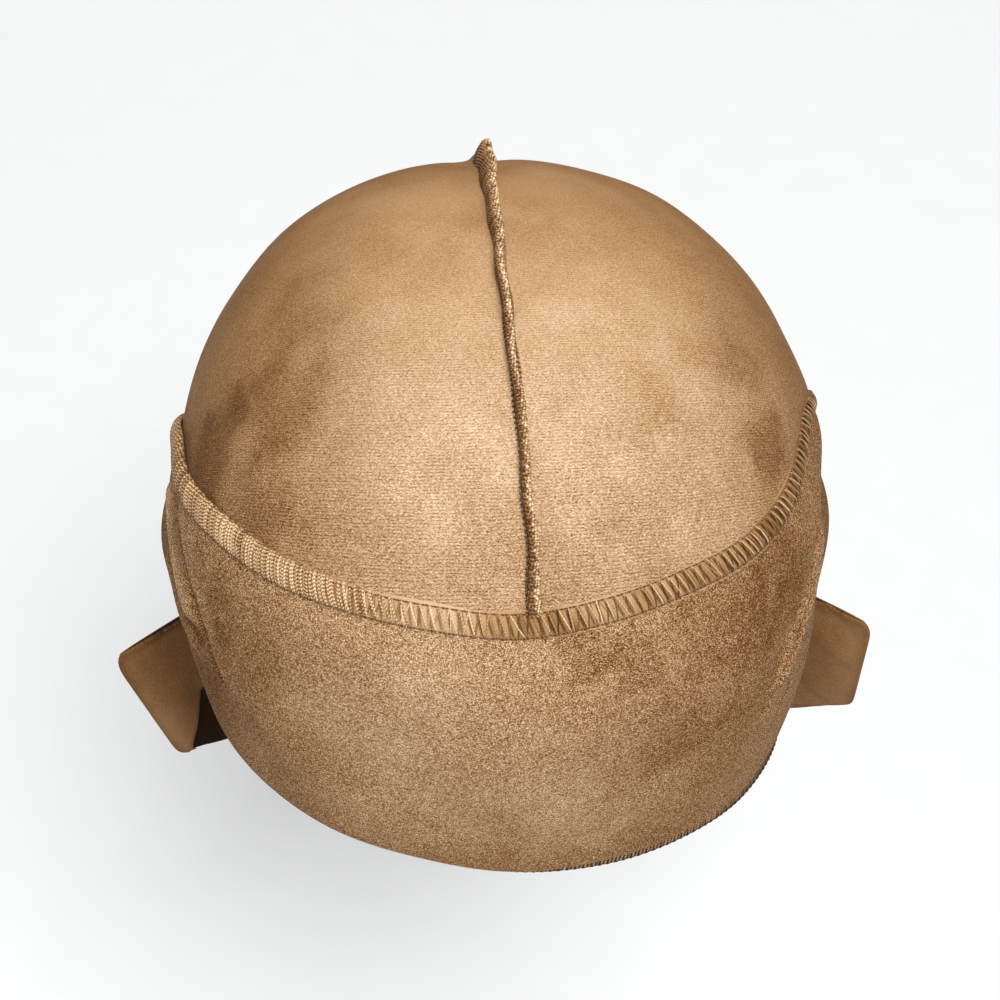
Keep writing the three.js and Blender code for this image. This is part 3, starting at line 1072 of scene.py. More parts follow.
@dataclass(frozen=True)
class Rung:
    """A thread across the flat seam, repeated at every pitch."""

    offset: float
    radius: float
    above: float
    tone: float
    back: bool = False
    woolly: bool = False
    twist: int = 1


LADDER = (
    Rung(0.00, 0.19, 0.12, 0.27),
    Rung(0.16, 0.13, 0.05, -0.10),
    # The back leg is near-black, a painted shadow where the zigzag sinks into the cloth.
    Rung(0.02, 0.18, 0.11, -0.60, back=True),
)
BRAID = tuple(
    Rung(k / 4, 0.33, 0.14, 0.06, woolly=True, twist=1 - 2 * (k % 2)) for k in range(4)
)


@dataclass
class BrowBand:
    """The broad brow band with the flat seam on its upper edge and the overlocked hem below.

    The tables go by azimuth in degrees, 0 at the brow and above 0 on the wearer's left. upper and
    lower are the levels of the edges, stand_off and hang_off how far those edges stand off the
    head, gather how far the band is pleated, flush how far its upper edge is stitched down flat,
    and seam_light how much lighter the flat seam is. Sizes are in mm.
    """

    cloth: float = 1.2
    crown_cloth: float = 1.2
    gap: float = 0.45
    end: float = 171.0
    upper: Table = Table((
        (-171, -80), (-150, -60), (-130, -27), (-110, 4), (-90, 29), (-75, 36.5), (-60, 42.5),
        (-45, 47), (-30, 50.5), (-15, 51.8), (0, 51.2), (15, 52), (30, 51.5), (45, 48.5),
        (60, 45.6), (75, 42.8), (90, 35.6), (110, 7), (130, -27), (150, -60), (171, -80),
    ))
    lower: Table = Table((
        (-171, -105), (-150, -99), (-130, -85), (-110, -68), (-90, -52), (-75, -42), (-60, -36),
        (-45, -31.4), (-30, -29), (-15, -28), (0, -33.6), (15, -34), (30, -37), (45, -44.4),
        (60, -50), (75, -54.6), (90, -59), (110, -68), (130, -85), (150, -99), (171, -105),
    ))
    stand_off: Table = Table((
        (-171, 1), (-130, 0.6), (-105, 0), (-90, 0.1), (-76, 1.3), (-64, 1.2), (-52, 0.2),
        (-45, 0), (96, 0), (112, 0.5), (130, 0.8), (171, 1),
    ))
    hang_off: Table = Table((
        (-171, 0), (-75, 0), (-60, 0.1), (-40, 0), (-15, 0.4), (0, 0), (15, 0), (30, 0.4),
        (45, 0.9), (60, 2.0), (75, 2.6), (90, 2.3), (110, 0.8), (130, 0), (171, 0),
    ))
    gather: Table = Table((
        (-171, 1), (-150, 0.8), (-130, 0.4), (-110, 0.1), (-90, 0), (90, 0), (110, 0.1),
        (130, 0.4), (150, 0.8), (171, 1),
    ))
    flush: Table = Table(((-171, 0), (-72, 0), (-56, 1), (92, 1), (108, 0), (171, 0)))
    ears: tuple[Swell, ...] = (
        Swell(-96.7, -24.6, 7.6, 14.0, 19.4, 22.6, 2.1),
        Swell(98.0, -26.0, 7.8, 19.0, 19.0, 22.0, 4.0),
    )
    pulled: tuple[Fold, ...] = (
        Fold(
            ((-80, 24), (-72, 25), (-68, 23), (-60, 17), (-56, 13), (-52, 5), (-48, 0)), -1.7, 1.6
        ),
        Fold(((-74, 31), (-64, 25), (-58, 19), (-52, 11), (-47, 3)), 0.6, 2.5),
        Fold(((-90, 14), (-78, 14), (-70, 13), (-63, 11), (-58, 8)), 2.0, 3.6),
        Fold(((-88, -2), (-77, 1), (-69, 4), (-62, 6), (-55, 6)), -1.6, 1.6),
        Fold(((-86, -9), (-72, -5), (-64, -1), (-56, 1)), 1.2, 3.2),
        Fold(((72, 20), (64, 16), (59, 13), (54, 11), (48, 7), (42, 3), (38, -3)), 1.3, 1.1),
        Fold(((68, 27), (60, 23), (55, 19), (50, 17), (46, 13), (43, 9), (40, 3)), 1.2, 1.1),
        Fold(((70, 23), (61, 19), (57, 16), (51, 13), (45, 7), (41, 1)), -1.0, 1.2),
        Fold(((74, 12), (66, 8), (60, 5), (52, -3), (44, -12)), -0.9, 1.8),
        Fold(((-128, -40), (-115, -30), (-104, -26)), -1.2, 2.4),
        Fold(((-130, -55), (-112, -42), (-98, -40)), -1.0, 2.2),
        Fold(((-126, -70), (-108, -56), (-92, -46)), 0.9, 2.6),
        Fold(((128, -38), (116, -28), (104, -24)), -1.2, 2.4),
        Fold(((130, -56), (112, -44), (96, -42)), -1.0, 2.2),
        Fold(((126, -70), (108, -58), (90, -50)), 0.9, 2.6),
    )
    painted_fold_shading: float = 0.30
    folds: int = 3
    fold_depth: float = 2.2
    arc: float = 92.0
    seed: int = 5
    seam_width: float = 5.9
    seam_end: float = 140.0
    pitch: float = 2.3
    lean: float = 0.85
    edge_radius: float = 0.72
    strip_step: float = 0.33
    strip_roll: float = 0.30
    strip_weave: float = 114.0
    chain_inset: float = 0.05
    braid_lean: float = 1.9
    braid_start: float = -1.9
    unevenness: float = 0.22
    seam_light: Table = Table((
        (-100, -0.10), (-76, -0.14), (-68, 0.10), (-60, 0.26), (-50, 0.30), (-38, 0.22),
        (-27, 0.22), (-17, 0.34), (-9, 0.30), (-4, 0.02), (2, -0.10), (8, 0.10), (14, 0.24),
        (25, 0.20), (40, 0.26), (55, 0.10), (70, 0.04), (100, 0.02),
    ))
    nap: NapField = BAND_NAP

    def swelling(self, azimuth: Array, level: Array) -> Array:
        """How far the ears push the band out."""
        return sum(ear.at(azimuth, level) for ear in self.ears)

    def lift(self, azimuth: Array, share: Array) -> Array:
        """How far the band's outer face lies off the head.

        Args:
            azimuth: Azimuths, in radians.
            share: Shares of the band's width from its lower edge.

        Returns:
            The distance, in mm.
        """
        turned = np.degrees(azimuth)
        stand = self.stand_off.at(turned) * ease((share - 0.6) / 0.4)
        hang = self.hang_off.at(turned) * ease((0.5 - share) / 0.5)
        gathered = self.gather.at(turned)
        drift = 0.22 * np.sin(azimuth * 9.0) + 0.1 * np.sin(azimuth * 23.0)
        wave = 0.5 - 0.5 * np.cos((share + drift * 0.12) * self.folds * FULL_TURN)
        pleats = gathered * self.fold_depth * wave**0.8
        small = gathered * 0.45 * (0.5 - 0.5 * np.cos((share * 7.5 + drift) * FULL_TURN))
        plain = self.crown_cloth + self.gap + self.cloth
        sunk = self.stitched(azimuth, share) * (self.gap + self.cloth - 0.35)
        swelling = self.swelling(azimuth, self.level(azimuth, share))
        return plain + stand + hang + pleats + small + swelling - sunk

    def stitched(self, azimuth: Array, share: Array) -> Array:
        """How far the band is stitched flush to the crown, from 0 to 1."""
        return self.flush.at(np.degrees(azimuth)) * ease((share - 0.82) / 0.18)

    def thickness(self, azimuth: Array, share: Array) -> Array:
        """The cloth's thickness, thinner where it is stitched flush to the crown."""
        return self.cloth * (1 - 0.6 * self.stitched(azimuth, share))

    def level(self, azimuth: Array, share: Array) -> Array:
        """The level at a share of the band's width."""
        turned = np.degrees(azimuth)
        return blend(self.lower.at(turned), self.upper.at(turned), share)

    def creases(self, azimuth: Array, share: Array) -> Array:
        """Soft folds that the pull to the knot leaves in the band, in mm outwards.

        Args:
            azimuth: Azimuths, in radians.
            share: Shares of the band's width from its lower edge.

        Returns:
            The folds' heights, in mm.
        """
        level = self.level(azimuth, share)
        room = ease((self.below_edge(azimuth, share) - self.seam_width) / 3)
        return sum(fold.at(azimuth, level) for fold in self.pulled) * room

    def outer(self, azimuth: Array, share: Array, above: Array | float = 0.0) -> Array:
        """Points on the band's outer face, or above it.

        Args:
            azimuth: Azimuths, in radians.
            share: Shares of the band's width from its lower edge.
            above: How far above the face, in mm.

        Returns:
            The points, in mm.
        """
        base = HEAD.at_level(azimuth, self.level(azimuth, share))
        seam_dip = 0.25 * mound(self.below_edge(azimuth, share) - self.seam_width - 0.3, 0.9)
        curl = 0.7 * mound(self.above_edge(azimuth, share), 1.3)
        lift = self.lift(azimuth, share) + self.creases(azimuth, share) - seam_dip - curl
        return HEAD.off(base, lift + above)

    def spread(self, azimuth: Array) -> Array:
        """The band's width along its surface, in mm.

        Args:
            azimuth: Azimuths, in radians.

        Returns:
            The widths.
        """
        turned = np.degrees(azimuth)
        tall = self.upper.at(turned) - self.lower.at(turned)
        return tall / self.steepness(azimuth)

    def steepness(self, azimuth: Array) -> Array:
        """How steep the head is under the band's upper edge: 1 where it is upright."""
        top = HEAD.at_level(azimuth, self.upper.at(np.degrees(azimuth)))
        return np.sqrt(1 - HEAD.normal(top)[..., 2] ** 2)

    def share_at(self, azimuth: Array, below: Array) -> Array:
        """The share of the width at a distance below the upper edge, in mm."""
        return 1 - below / self.spread(azimuth)

    def below_edge(self, azimuth: Array, share: Array) -> Array:
        """The distance below the upper edge, in mm."""
        return (1 - share) * self.spread(azimuth)

    def above_edge(self, azimuth: Array, share: Array) -> Array:
        """The distance above the lower edge, in mm."""
        turned = np.degrees(azimuth)
        return share * (self.upper.at(turned) - self.lower.at(turned))

    def body(self, columns: int = 460, rows: int = 72) -> Form:
        """The band's cloth.

        Args:
            columns: Points round the head.
            rows: Points up the band.

        Returns:
            The closed form.
        """
        u, v = grid(columns, rows)
        azimuth = radians(self.end) * (2 * u - 1)
        share = v
        even = 0.35 * Ripples(31, 26.0, 70.0).at(HEAD.at_level(azimuth, self.level(azimuth, share)))
        fade = ease(v / 0.15) * ease((1 - v) / 0.15)
        outer = self.outer(azimuth, share, even * fade)
        inner = self.outer(azimuth, share, even * fade - self.thickness(azimuth, share))
        around = azimuth * self.arc
        down = self.below_edge(azimuth, share)
        # Painted highlights on the folds and painted shade in the creases, and a painted highlight
        # along the rolled lower edge.
        nap = self.nap.at(outer) + self.painted_fold_shading * self.creases(azimuth, share)
        nap = nap + 0.22 * mound(self.above_edge(azimuth, share) - 0.6, 0.9)
        return closed(Cloth(outer, inner, np.stack([around, down], -1), nap))

    def stations(self, step: float) -> Array:
        """Azimuths at even steps along the flat seam.

        Args:
            step: The step, in mm.

        Returns:
            The azimuths, in radians.
        """
        fine = np.linspace(-radians(self.seam_end), radians(self.seam_end), 4000)
        line = self.outer(fine, self.share_at(fine, np.full_like(fine, self.seam_width / 2)))
        walked = np.concatenate([[0], np.cumsum(np.linalg.norm(np.diff(line, axis=0), axis=1))])
        return np.interp(np.arange(0, walked[-1], step), walked, fine)

    def seam_height(self, azimuth: Array, below: Array) -> Array:
        """How far the flat seam stands off the band, over its width.

        Args:
            azimuth: Azimuths, in radians.
            below: Distances below the band's upper edge, in mm.

        Returns:
            The heights, in mm.
        """
        x = np.clip(below / self.seam_width, 0, 1)
        pillow = np.sin(math.pi * x) ** 0.5
        over = np.clip(-below / self.edge_radius, 0, math.pi)
        sunk = 1.5 * (1 - ease((radians(self.seam_end) - np.abs(azimuth)) / radians(7)))
        return 0.12 + 0.60 * pillow - self.edge_radius * (1 - np.cos(over)) - sunk

    def seam_strip(self) -> Form:
        """The doubled cloth of the flat seam, puffed between its stitches.

        Returns:
            The closed form.
        """
        azimuth = self.stations(self.strip_step)[:, None]
        rolled = np.linspace(-self.strip_roll, 0, 5, endpoint=False)
        across = np.concatenate([rolled, np.linspace(0, 1, 14)])[None, :]
        walked = (np.arange(len(azimuth)) * self.strip_step)[:, None]
        phase = walked / self.pitch
        scallop = 0.34 * np.abs(np.sin(math.pi * phase)) * np.clip(1 - across, 0, 1)
        arc = across * self.seam_width - np.where(across >= 0, scallop, 0.0)
        full = np.broadcast_to(azimuth, arc.shape)
        over = np.clip(-arc / self.edge_radius, 0, math.pi)
        below = np.where(arc < 0, -self.edge_radius * np.sin(over), arc)
        rung = np.mod(phase - self.lean * across - 0.17, 1.0)
        bare = 1 - 0.75 * self.woolly(azimuth)
        groove = bare * mound(rung - 0.5, 0.12) * ease(across * 5) * ease((1 - across) * 5)
        share = self.share_at(full, below)
        height = self.seam_height(full, arc) - 0.42 * groove
        outer = self.outer(full, share, height)
        core = self.share_at(full, np.where(arc < 0, 0.0, below))
        inner = self.outer(full, core, np.where(arc < 0, -self.edge_radius, -0.12))
        weave = np.stack([np.broadcast_to(walked, below.shape), below + self.strip_weave], -1)
        light = self.seam_light.at(np.degrees(azimuth))
        # The grooves between the rungs are painted darker, painted shade over their real depth.
        nap = self.nap.at(outer) - 0.24 + 0.32 * bare - 0.95 * groove + light
        return closed(Cloth(outer, inner, weave, nap), 1)

    def on_seam(self, azimuth: Array, below: Array, above: Array | float) -> tuple[Array, Array]:
        """Points over the flat seam and the way up from it there.

        Args:
            azimuth: Azimuths, in radians.
            below: Distances below the band's upper edge, in mm.
            above: How far above the seam, in mm.

        Returns:
            The points, in mm, and the upward directions.
        """
        over = np.clip(-below / self.edge_radius, 0, math.pi)
        lifted = self.seam_height(azimuth, below) + above * np.cos(over)
        rolled = np.where(below < 0, -(self.edge_radius + above) * np.sin(over), below)
        share = self.share_at(azimuth, rolled)
        base = self.outer(azimuth, share, lifted)
        return base, HEAD.normal(HEAD.at_level(azimuth, self.level(azimuth, share)))

    def woolly(self, azimuth: Array) -> Array:
        """How far the seam's threads spread to a full woolly braid, from 0 to 1."""
        return ease((radians(-16) - azimuth) / radians(22))

    def seam_threads(self) -> list[Strand]:
        """The zigzag between the flat seam's edges and the chain of stitches along each.

        Returns:
            The threads, one entry for each kind.
        """
        stations = self.stations(self.pitch)
        azimuth, ahead = stations[1:-2], stations[2:-1]
        draw = np.random.default_rng(self.seed)
        rungs = [self.rungs(rung, azimuth, ahead, draw) for rung in LADDER + BRAID]
        edges = (self.chain_inset, self.seam_width - self.chain_inset)
        return rungs + [self.chain(edge, azimuth, ahead) for edge in edges]

    def rungs(self, rung: Rung, azimuth: Array, ahead: Array, draw: np.random.Generator) -> Strand:
        """One kind of thread across the flat seam, at the pitches where it shows.

        Args:
            rung: The kind of thread.
            azimuth: Where each pitch starts, in radians.
            ahead: Where each pitch ends, in radians.
            draw: The draws for the unevenness.

        Returns:
            The threads.
        """
        t = np.linspace(0, 1, 11)[None, :]
        woolly = self.woolly(azimuth)
        picks = draw.random(len(azimuth))
        kept = woolly > picks if rung.woolly else woolly < 0.25 + 0.75 * picks
        at, to, full = azimuth[kept, None], ahead[kept, None], woolly[kept, None]
        count = len(at)
        lean = self.braid_lean if rung.woolly else self.lean
        lean = lean + self.unevenness * draw.normal(size=(count, 1))
        down = np.broadcast_to(1 - t if rung.back else t, (count, t.shape[1]))
        slide = lean + (1 - lean) * t if rung.back else lean * t
        jitter = 0.07 * draw.normal(size=(count, 1))
        place = at + (to - at) * (slide + rung.offset + jitter)
        start = self.braid_start * ease(2 * full) if rung.woolly else 0.0
        below = start + down * (self.seam_width - 0.25 - start)
        bow = 0.10 * np.sin(math.pi * t)
        paths, upward = self.on_seam(place, below, rung.above + bow)
        taper = 1 - 0.55 * np.abs(2 * t - 1) ** 6
        open_zigzag = mound(np.degrees(at) + 12, 15) * (not rung.woolly)
        # Where the zigzag lies open its back leg takes less painted shadow.
        lighter = open_zigzag * (0.62 if rung.back else 0.12)
        lighter = lighter + self.seam_light.at(np.degrees(at))
        tone = rung.tone + lighter + self.unevenness * draw.normal(size=(count, 1))
        thinner = 0.55 + 0.45 * full if rung.woolly else 1.0
        radius = rung.radius * (1 + 0.3 * open_zigzag) * thinner * taper
        smooth = 0.0 if rung.woolly else 0.7
        return Strand(paths, upward, radius, tone, 6, rung.twist, smooth)

    def chain(self, edge: float, azimuth: Array, ahead: Array) -> Strand:
        """The chain of small stitches along one edge of the flat seam.

        Args:
            edge: How far below the band's upper edge it runs, in mm.
            azimuth: Where each stitch starts, in radians.
            ahead: Where the next one starts, in radians.

        Returns:
            The stitches.
        """
        t = np.linspace(0, 1, 7)[None, :]
        at = azimuth[:, None] + (ahead - azimuth)[:, None] * (0.08 + 0.84 * t)
        arch = 0.26 * np.sin(math.pi * t) ** 0.7
        paths, upward = self.on_seam(at, np.full_like(at, edge), arch - 0.04)
        taper = 0.5 + 0.5 * np.sin(math.pi * t)
        return Strand(paths, upward, 0.22 * taper, np.full((len(azimuth), 1), -0.45))


@dataclass
class BrowHem:
    """The overlocked edge that shows under the brow band.

    below is how far it shows under the band and flare how far it turns out, by azimuth in degrees.
    """

    band: BrowBand
    depth: float = 2.0
    end: float = 112.0
    cloth: float = 1.2
    flat_width: float = 4.0
    weave_from: float = 300.0
    pitch: float = 1.05
    seed: int = 9
    below: Table = Table((
        (-112, 1), (-60, 1.6), (-48, 1.8), (-30, 1.2), (-5, 1.0), (5, 1.8), (15, 3.2), (30, 3.8),
        (45, 3.8), (60, 3.8), (80, 3.5), (112, 1),
    ))
    flare: Table = Table((
        (-112, 0), (-48, 0.4), (-30, 0.4), (-5, 0.3), (15, 0.9), (30, 1.6), (45, 3.2), (60, 5.0),
        (80, 5.0), (112, 0),
    ))

    def place(self, azimuth: Array, up: Array, lift: Array | float) -> Array:
        """Points on the hem, at shares of its depth from its lower edge.

        Args:
            azimuth: Azimuths, in radians.
            up: Shares of the hem's depth.
            lift: How far off the head, in mm.

        Returns:
            The points, in mm.
        """
        turned = np.degrees(azimuth)
        flare = self.flare.at(turned) * (1 - up)
        level = self.band.lower.at(turned) + blend(-self.below.at(turned), self.depth, up)
        return HEAD.off(HEAD.at_level(azimuth, level), lift + flare)

    def strip(self) -> Form:
        """The hem's cloth.

        Returns:
            The closed form.
        """
        u, v = grid(560, 9)
        azimuth = radians(self.end) * (2 * u - 1)
        waver = 0.12 * np.sin(azimuth * self.band.arc / self.pitch * FULL_TURN / 2)
        outer = self.place(azimuth, v, self.cloth + waver)
        inner = self.place(azimuth, v, 0.1)
        # Darker than the band, and darker still towards its top: painted shadow under the band's
        # edge.
        nap = -0.55 - 0.5 * ease((v - 0.3) / 0.4)
        weave = np.stack([azimuth * self.band.arc, v * self.flat_width + self.weave_from], -1)
        return closed(Cloth(outer, inner, weave, nap))

    def threads(self) -> list[Strand]:
        """The overlock stitches that wrap the hem's edge.

        Returns:
            The threads.
        """
        count = int(2 * radians(self.end) * self.band.arc / self.pitch)
        azimuth = radians(self.end) * (2 * (np.arange(count) + 0.5) / count - 1)
        step = 2 * radians(self.end) / count
        t = np.linspace(0, 1, 13)[None, :]
        turn = (t - 0.5) * math.pi
        up = np.abs(t - 0.5) * 2
        share = up**1.4 * 0.75
        lift = self.cloth / 2 + (self.cloth / 2 + 0.22) * np.sin(-turn)
        at = azimuth[:, None] + step * (0.55 - t)
        down = np.cos(turn)[..., None] * np.array([0.0, 0.0, -1.0])
        paths = self.place(at, np.broadcast_to(share, at.shape), lift) + 0.55 * down
        upward = HEAD.normal(paths) * np.sin(-turn)[..., None] + down
        draw = np.random.default_rng(self.seed)
        beaded = ease((np.degrees(azimuth)[:, None] - 38) / 8)
        tone = -0.12 - 0.45 * beaded + 0.22 * draw.normal(size=(count, 1))
        radius = (0.30 + 0.16 * beaded * (np.arange(count)[:, None] % 2)) * np.ones((count, 13))
        return [Strand(paths, unit(upward), radius, tone)]


@dataclass
class Crown:
    """The two crown panels and the raised overlocked seam that joins them.

    The tables go by the angle in degrees from the brow over the top: stands is the seam's height,
    lean how far it leans to the wearer's left and width how wide it is, in mm.
    """

    band: BrowBand
    turn: float = 2.6
    cloth: float = 1.2
    clearance: float = 0.3
    hem_up: float = 2.7
    seam_lowest: float = -58.0
    seam_above_band: float = -0.4
    stands: Table = Table((
        (20, 3.4), (60, 4.0), (85, 4.4), (105, 5.0), (116, 5.6), (124, 6.3), (130, 6.0), (137, 3.4),
        (146, 2.0), (160, 2.4), (180, 2.8), (230, 2.6),
    ))
    lean: Table = Table((
        (20, 0.2), (60, 0.0), (80, -0.7), (100, 0.0), (115, 0.9), (128, 1.5), (140, 2.4),
        (155, 1.6), (185, 0.6), (230, 0),
    ))
    width: Table = Table((
        (20, 2.3), (60, 2.1), (85, 2.2), (100, 2.4), (116, 2.6), (128, 2.6), (145, 2.4),
        (175, 2.7), (230, 2.5),
    ))
    end_width: float = 3.2
    end_height: float = 1.3
    end_length: float = 9.0
    pitch: float = 1.35
    arc: float = 88.0
    ear_arc: float = 86.0
    seed: int = 3
    nap: NapField = CROWN_NAP

    @property
    def across(self) -> Array:
        """The direction across the seam, towards the wearer's left."""
        return np.array([math.cos(radians(self.turn)), math.sin(radians(self.turn)), 0.0])

    def hem_level(self, azimuth: Array) -> Array:
        """The level of the crown's lower edge."""
        turned = (np.degrees(azimuth) + 180) % 360 - 180
        return self.band.lower.at(turned) + self.hem_up

    def seam_direction(self, angle: Array) -> Array:
        """Directions in the seam's plane by the angle from the brow over the top.

        Args:
            angle: Angles, in radians.

        Returns:
            Directions of length 1.
        """
        azimuth = radians(self.turn)
        flat = np.array([math.sin(azimuth), -math.cos(azimuth), 0.0])
        return flat * np.cos(angle)[..., None] + np.array([0, 0, 1.0]) * np.sin(angle)[..., None]

    def edge_angle(self, azimuth: float) -> float:
        """How high the crown's lower edge is seen from the head's middle."""
        edge = HEAD.at_level(np.array(azimuth), self.hem_level(np.array(azimuth)))
        return float(math.atan2(edge[2], math.hypot(edge[0], edge[1])))

    def panel(self, side: int, columns: int = 220, rows: int = 104) -> Form:
        """One crown panel, as a fan from the seam to the lower edge.

        Args:
            side: 1 for the wearer's left and -1 for the right.
            columns: Points along the seam.
            rows: Points from the seam to the edge.

        Returns:
            The panel as a closed form.
        """
        t, w = grid(columns, rows)
        t = blend(0.012, 0.988, t)
        w = w**1.12
        azimuth = radians(self.turn) + side * math.pi * t
        first = self.edge_angle(radians(self.turn))
        last = self.edge_angle(radians(self.turn) + math.pi)
        angle = blend(first, math.pi - last, t)
        start = self.seam_direction(angle)
        end = unit(HEAD.at_level(azimuth, self.hem_level(azimuth)))
        turn = np.arccos(np.clip((start * end).sum(-1), -1, 1))
        turn = np.maximum(turn, 1e-4)
        share = (np.sin((1 - w) * turn) / np.sin(turn))[..., None] * start
        direction = share + (np.sin(w * turn) / np.sin(turn))[..., None] * end
        base = HEAD.along(unit(direction))
        beside = np.abs(base @ self.across)
        above = base[..., 2] - self.band.upper.at((np.degrees(azimuth) + 180) % 360 - 180)
        free = ease((above + 0.5) / 4)
        pinch = (0.9 * mound(beside, 1.7) - 0.30 * mound(beside - 5.0, 3.4)) * free
        uneven = 0.22 * Ripples(41, 24.0, 80.0).at(base) * ease(beside / 20) * free
        sunk = -0.9 * mound(np.degrees(azimuth) + 76, 14) * mound(base[..., 2] - 44, 12)
        lift = self.cloth + pinch + uneven + sunk
        aside = self.across * side * self.clearance / 2
        outer = HEAD.off(base, lift) + aside
        inner = HEAD.off(base, lift - self.cloth) + aside
        around_ear = np.arctan2(base[..., 2], -base[..., 1]) + radians(90)
        around_ear = np.mod(around_ear, FULL_TURN) - radians(130)
        square = np.cos(np.arcsin(np.clip(beside / HEAD.half_width, 0, 1)))
        row = self.ear_arc * around_ear * (0.4 + 0.6 * square)
        column = self.ear_arc * np.arcsin(np.clip(beside / (HEAD.half_width + 3), 0, 1)) * side
        weave = np.stack([column, row], -1)
        return closed(Cloth(outer, inner, weave, self.nap.at(outer)))

    def ridge_angles(self) -> tuple[float, float]:
        """Where the raised seam starts above the band and where it ends behind.

        Returns:
            The first and the last angle, in radians.
        """
        azimuth = radians(self.turn)
        start = HEAD.at_level(azimuth, self.band.upper.at(self.turn) + self.seam_above_band)
        end = HEAD.at_level(azimuth + math.pi, np.asarray(self.seam_lowest))
        return (
            math.atan2(start[2], math.hypot(start[0], start[1])),
            math.pi - math.atan2(end[2], math.hypot(end[0], end[1])),
        )

    def ridge(self, angle: Array, side: Array, up: Array) -> Array:
        """Points on the raised seam.

        Args:
            angle: Angles from the brow over the top.
            side: Shares of the ridge's width from its middle.
            up: Shares of the ridge's height.

        Returns:
            The points.
        """
        turned = np.degrees(angle)
        first, last = np.degrees(self.ridge_angles())
        flat = ease((turned - first) / self.end_length)
        ending = ease((last - turned) / 9)
        height = blend(self.end_height, self.stands.at(turned), flat)
        height = height * (1 + 0.07 * np.sin(angle * 41) + 0.05 * np.sin(angle * 67 + 1))
        height = height * blend(0.06, 1.0, ending)
        width = blend(self.end_width, self.width.at(turned), flat)
        waver = 0.30 * np.sin(angle * 19) + 0.10 * np.sin(angle * 34 + 0.7)
        lean = flat * (self.lean.at(turned) + waver)
        base = HEAD.along(self.seam_direction(angle))
        lifted = HEAD.off(base, self.cloth + 0.15 + up * height)
        foot = 0.25 * np.sin(angle * 27) * flat * (1 - up)
        return lifted + self.across * (side * width + lean * up + foot)[..., None]

    def paler(self, angle: Array) -> Array:
        """How much lighter the seam's threads are from over the top on towards the back."""
        return 0.30 * ease((np.degrees(angle) - 82) / 16)

    def seam_core(self) -> Form:
        """The panels' turned-up edges inside the stitches.

        Returns:
            The closed form.
        """
        first, last = self.ridge_angles()
        ups = np.array([-0.10, 0.10, 0.30, 0.52, 0.72, 0.87, 0.96, 1.0])
        halves = np.array([0.62, 0.44, 0.36, 0.38, 0.41, 0.36, 0.24, 0.06])
        side = np.concatenate([-halves, halves[::-1]])
        up = np.concatenate([ups, ups[::-1]])
        angle = np.linspace(first, last, 420)[:, None]
        shape = (len(angle), len(side))
        points = self.ridge(
            np.broadcast_to(angle, shape), np.broadcast_to(side, shape), np.broadcast_to(up, shape)
        )
        number = np.arange(points.shape[0] * len(side)).reshape(shape)
        beside = np.roll(number, -1, axis=1)
        flat = points.reshape(-1, 3)
        faces = outward(walls(number[None], beside[None]), flat)
        along = np.broadcast_to(angle * self.arc, shape)
        weave = np.stack([along, np.broadcast_to(up * 5, shape), np.zeros(shape)], -1)
        # Darker at the foot and on the wearer's right flank: partly dark brown cloth, partly
        # painted shade on the flank turned from the lamps.
        nap = -0.62 + 0.30 * up + 0.5 * np.clip(side, 0, 1) + self.paler(angle)
        nap = np.broadcast_to(nap, shape)
        turned_over = faces[0, 1] != beside[0, 0]
        ends = [number[:1], number[-1:, ::-1]] if turned_over else [number[:1, ::-1], number[-1:]]
        return flat, [faces, *ends], weave.reshape(-1, 3), nap.reshape(-1)

    def seam_threads(self) -> list[Strand]:
        """The overlock stitches over the raised seam and the chain along its top.

        Returns:
            The threads.
        """
        first, last = self.ridge_angles()
        count = int((last - first) * self.arc / self.pitch)
        at = first + (last - first) * (np.arange(count) + 0.5) / count
        step = (last - first) / count
        t = np.linspace(0, 1, 15)[None, :]
        draw = np.random.default_rng(self.seed)
        over = (t - 0.5) * math.pi
        side = np.sin(over) * (0.47 + 0.08 * np.abs(np.sin(over)) ** 6)
        up = np.cos(over) ** 0.55 * 1.05 - 0.04
        slant = 1.25 + 0.15 * draw.normal(size=(count, 1))
        angle = at[:, None] - step * slant * np.cos(over) + step * 0.5 * t
        angle = np.clip(angle, first, last)
        shape = angle.shape
        paths = self.ridge(angle, np.broadcast_to(side, shape), np.broadcast_to(up, shape))
        aside = self.across * np.sin(over)[..., None]
        out = unit(HEAD.normal(paths) * np.cos(over)[..., None] + aside)
        # Darker on the wearer's right flank and lighter on the left: painted shade and light by the
        # side that faces the lamps.
        tone = -0.26 + 0.16 * draw.normal(size=(count, 1)) + 0.34 * np.sin(over)
        tone = tone + self.paler(angle)
        strands = [Strand(paths, out, 0.27 * np.ones(shape), tone)]
        t = np.linspace(0, 1, 7)[None, :]
        line = at[:, None] + step * (t * 1.15 - 0.1)
        line = np.clip(line, first, last)
        for strand in range(2):
            wind = (t + 0.5 * strand) * FULL_TURN / 2
            side = 0.20 + 0.18 * np.sin(wind)
            up = 0.97 + 0.05 * np.abs(np.cos(wind))
            shape = line.shape
            paths = self.ridge(line, np.broadcast_to(side, shape), np.broadcast_to(up, shape))
            bead = 0.22 + 0.22 * np.sin(math.pi * t)
            tone = 0.28 + 0.32 * draw.normal(size=(count, 1))
            strands.append(Strand(paths, HEAD.normal(paths), bead * np.ones(shape), tone))
        return strands


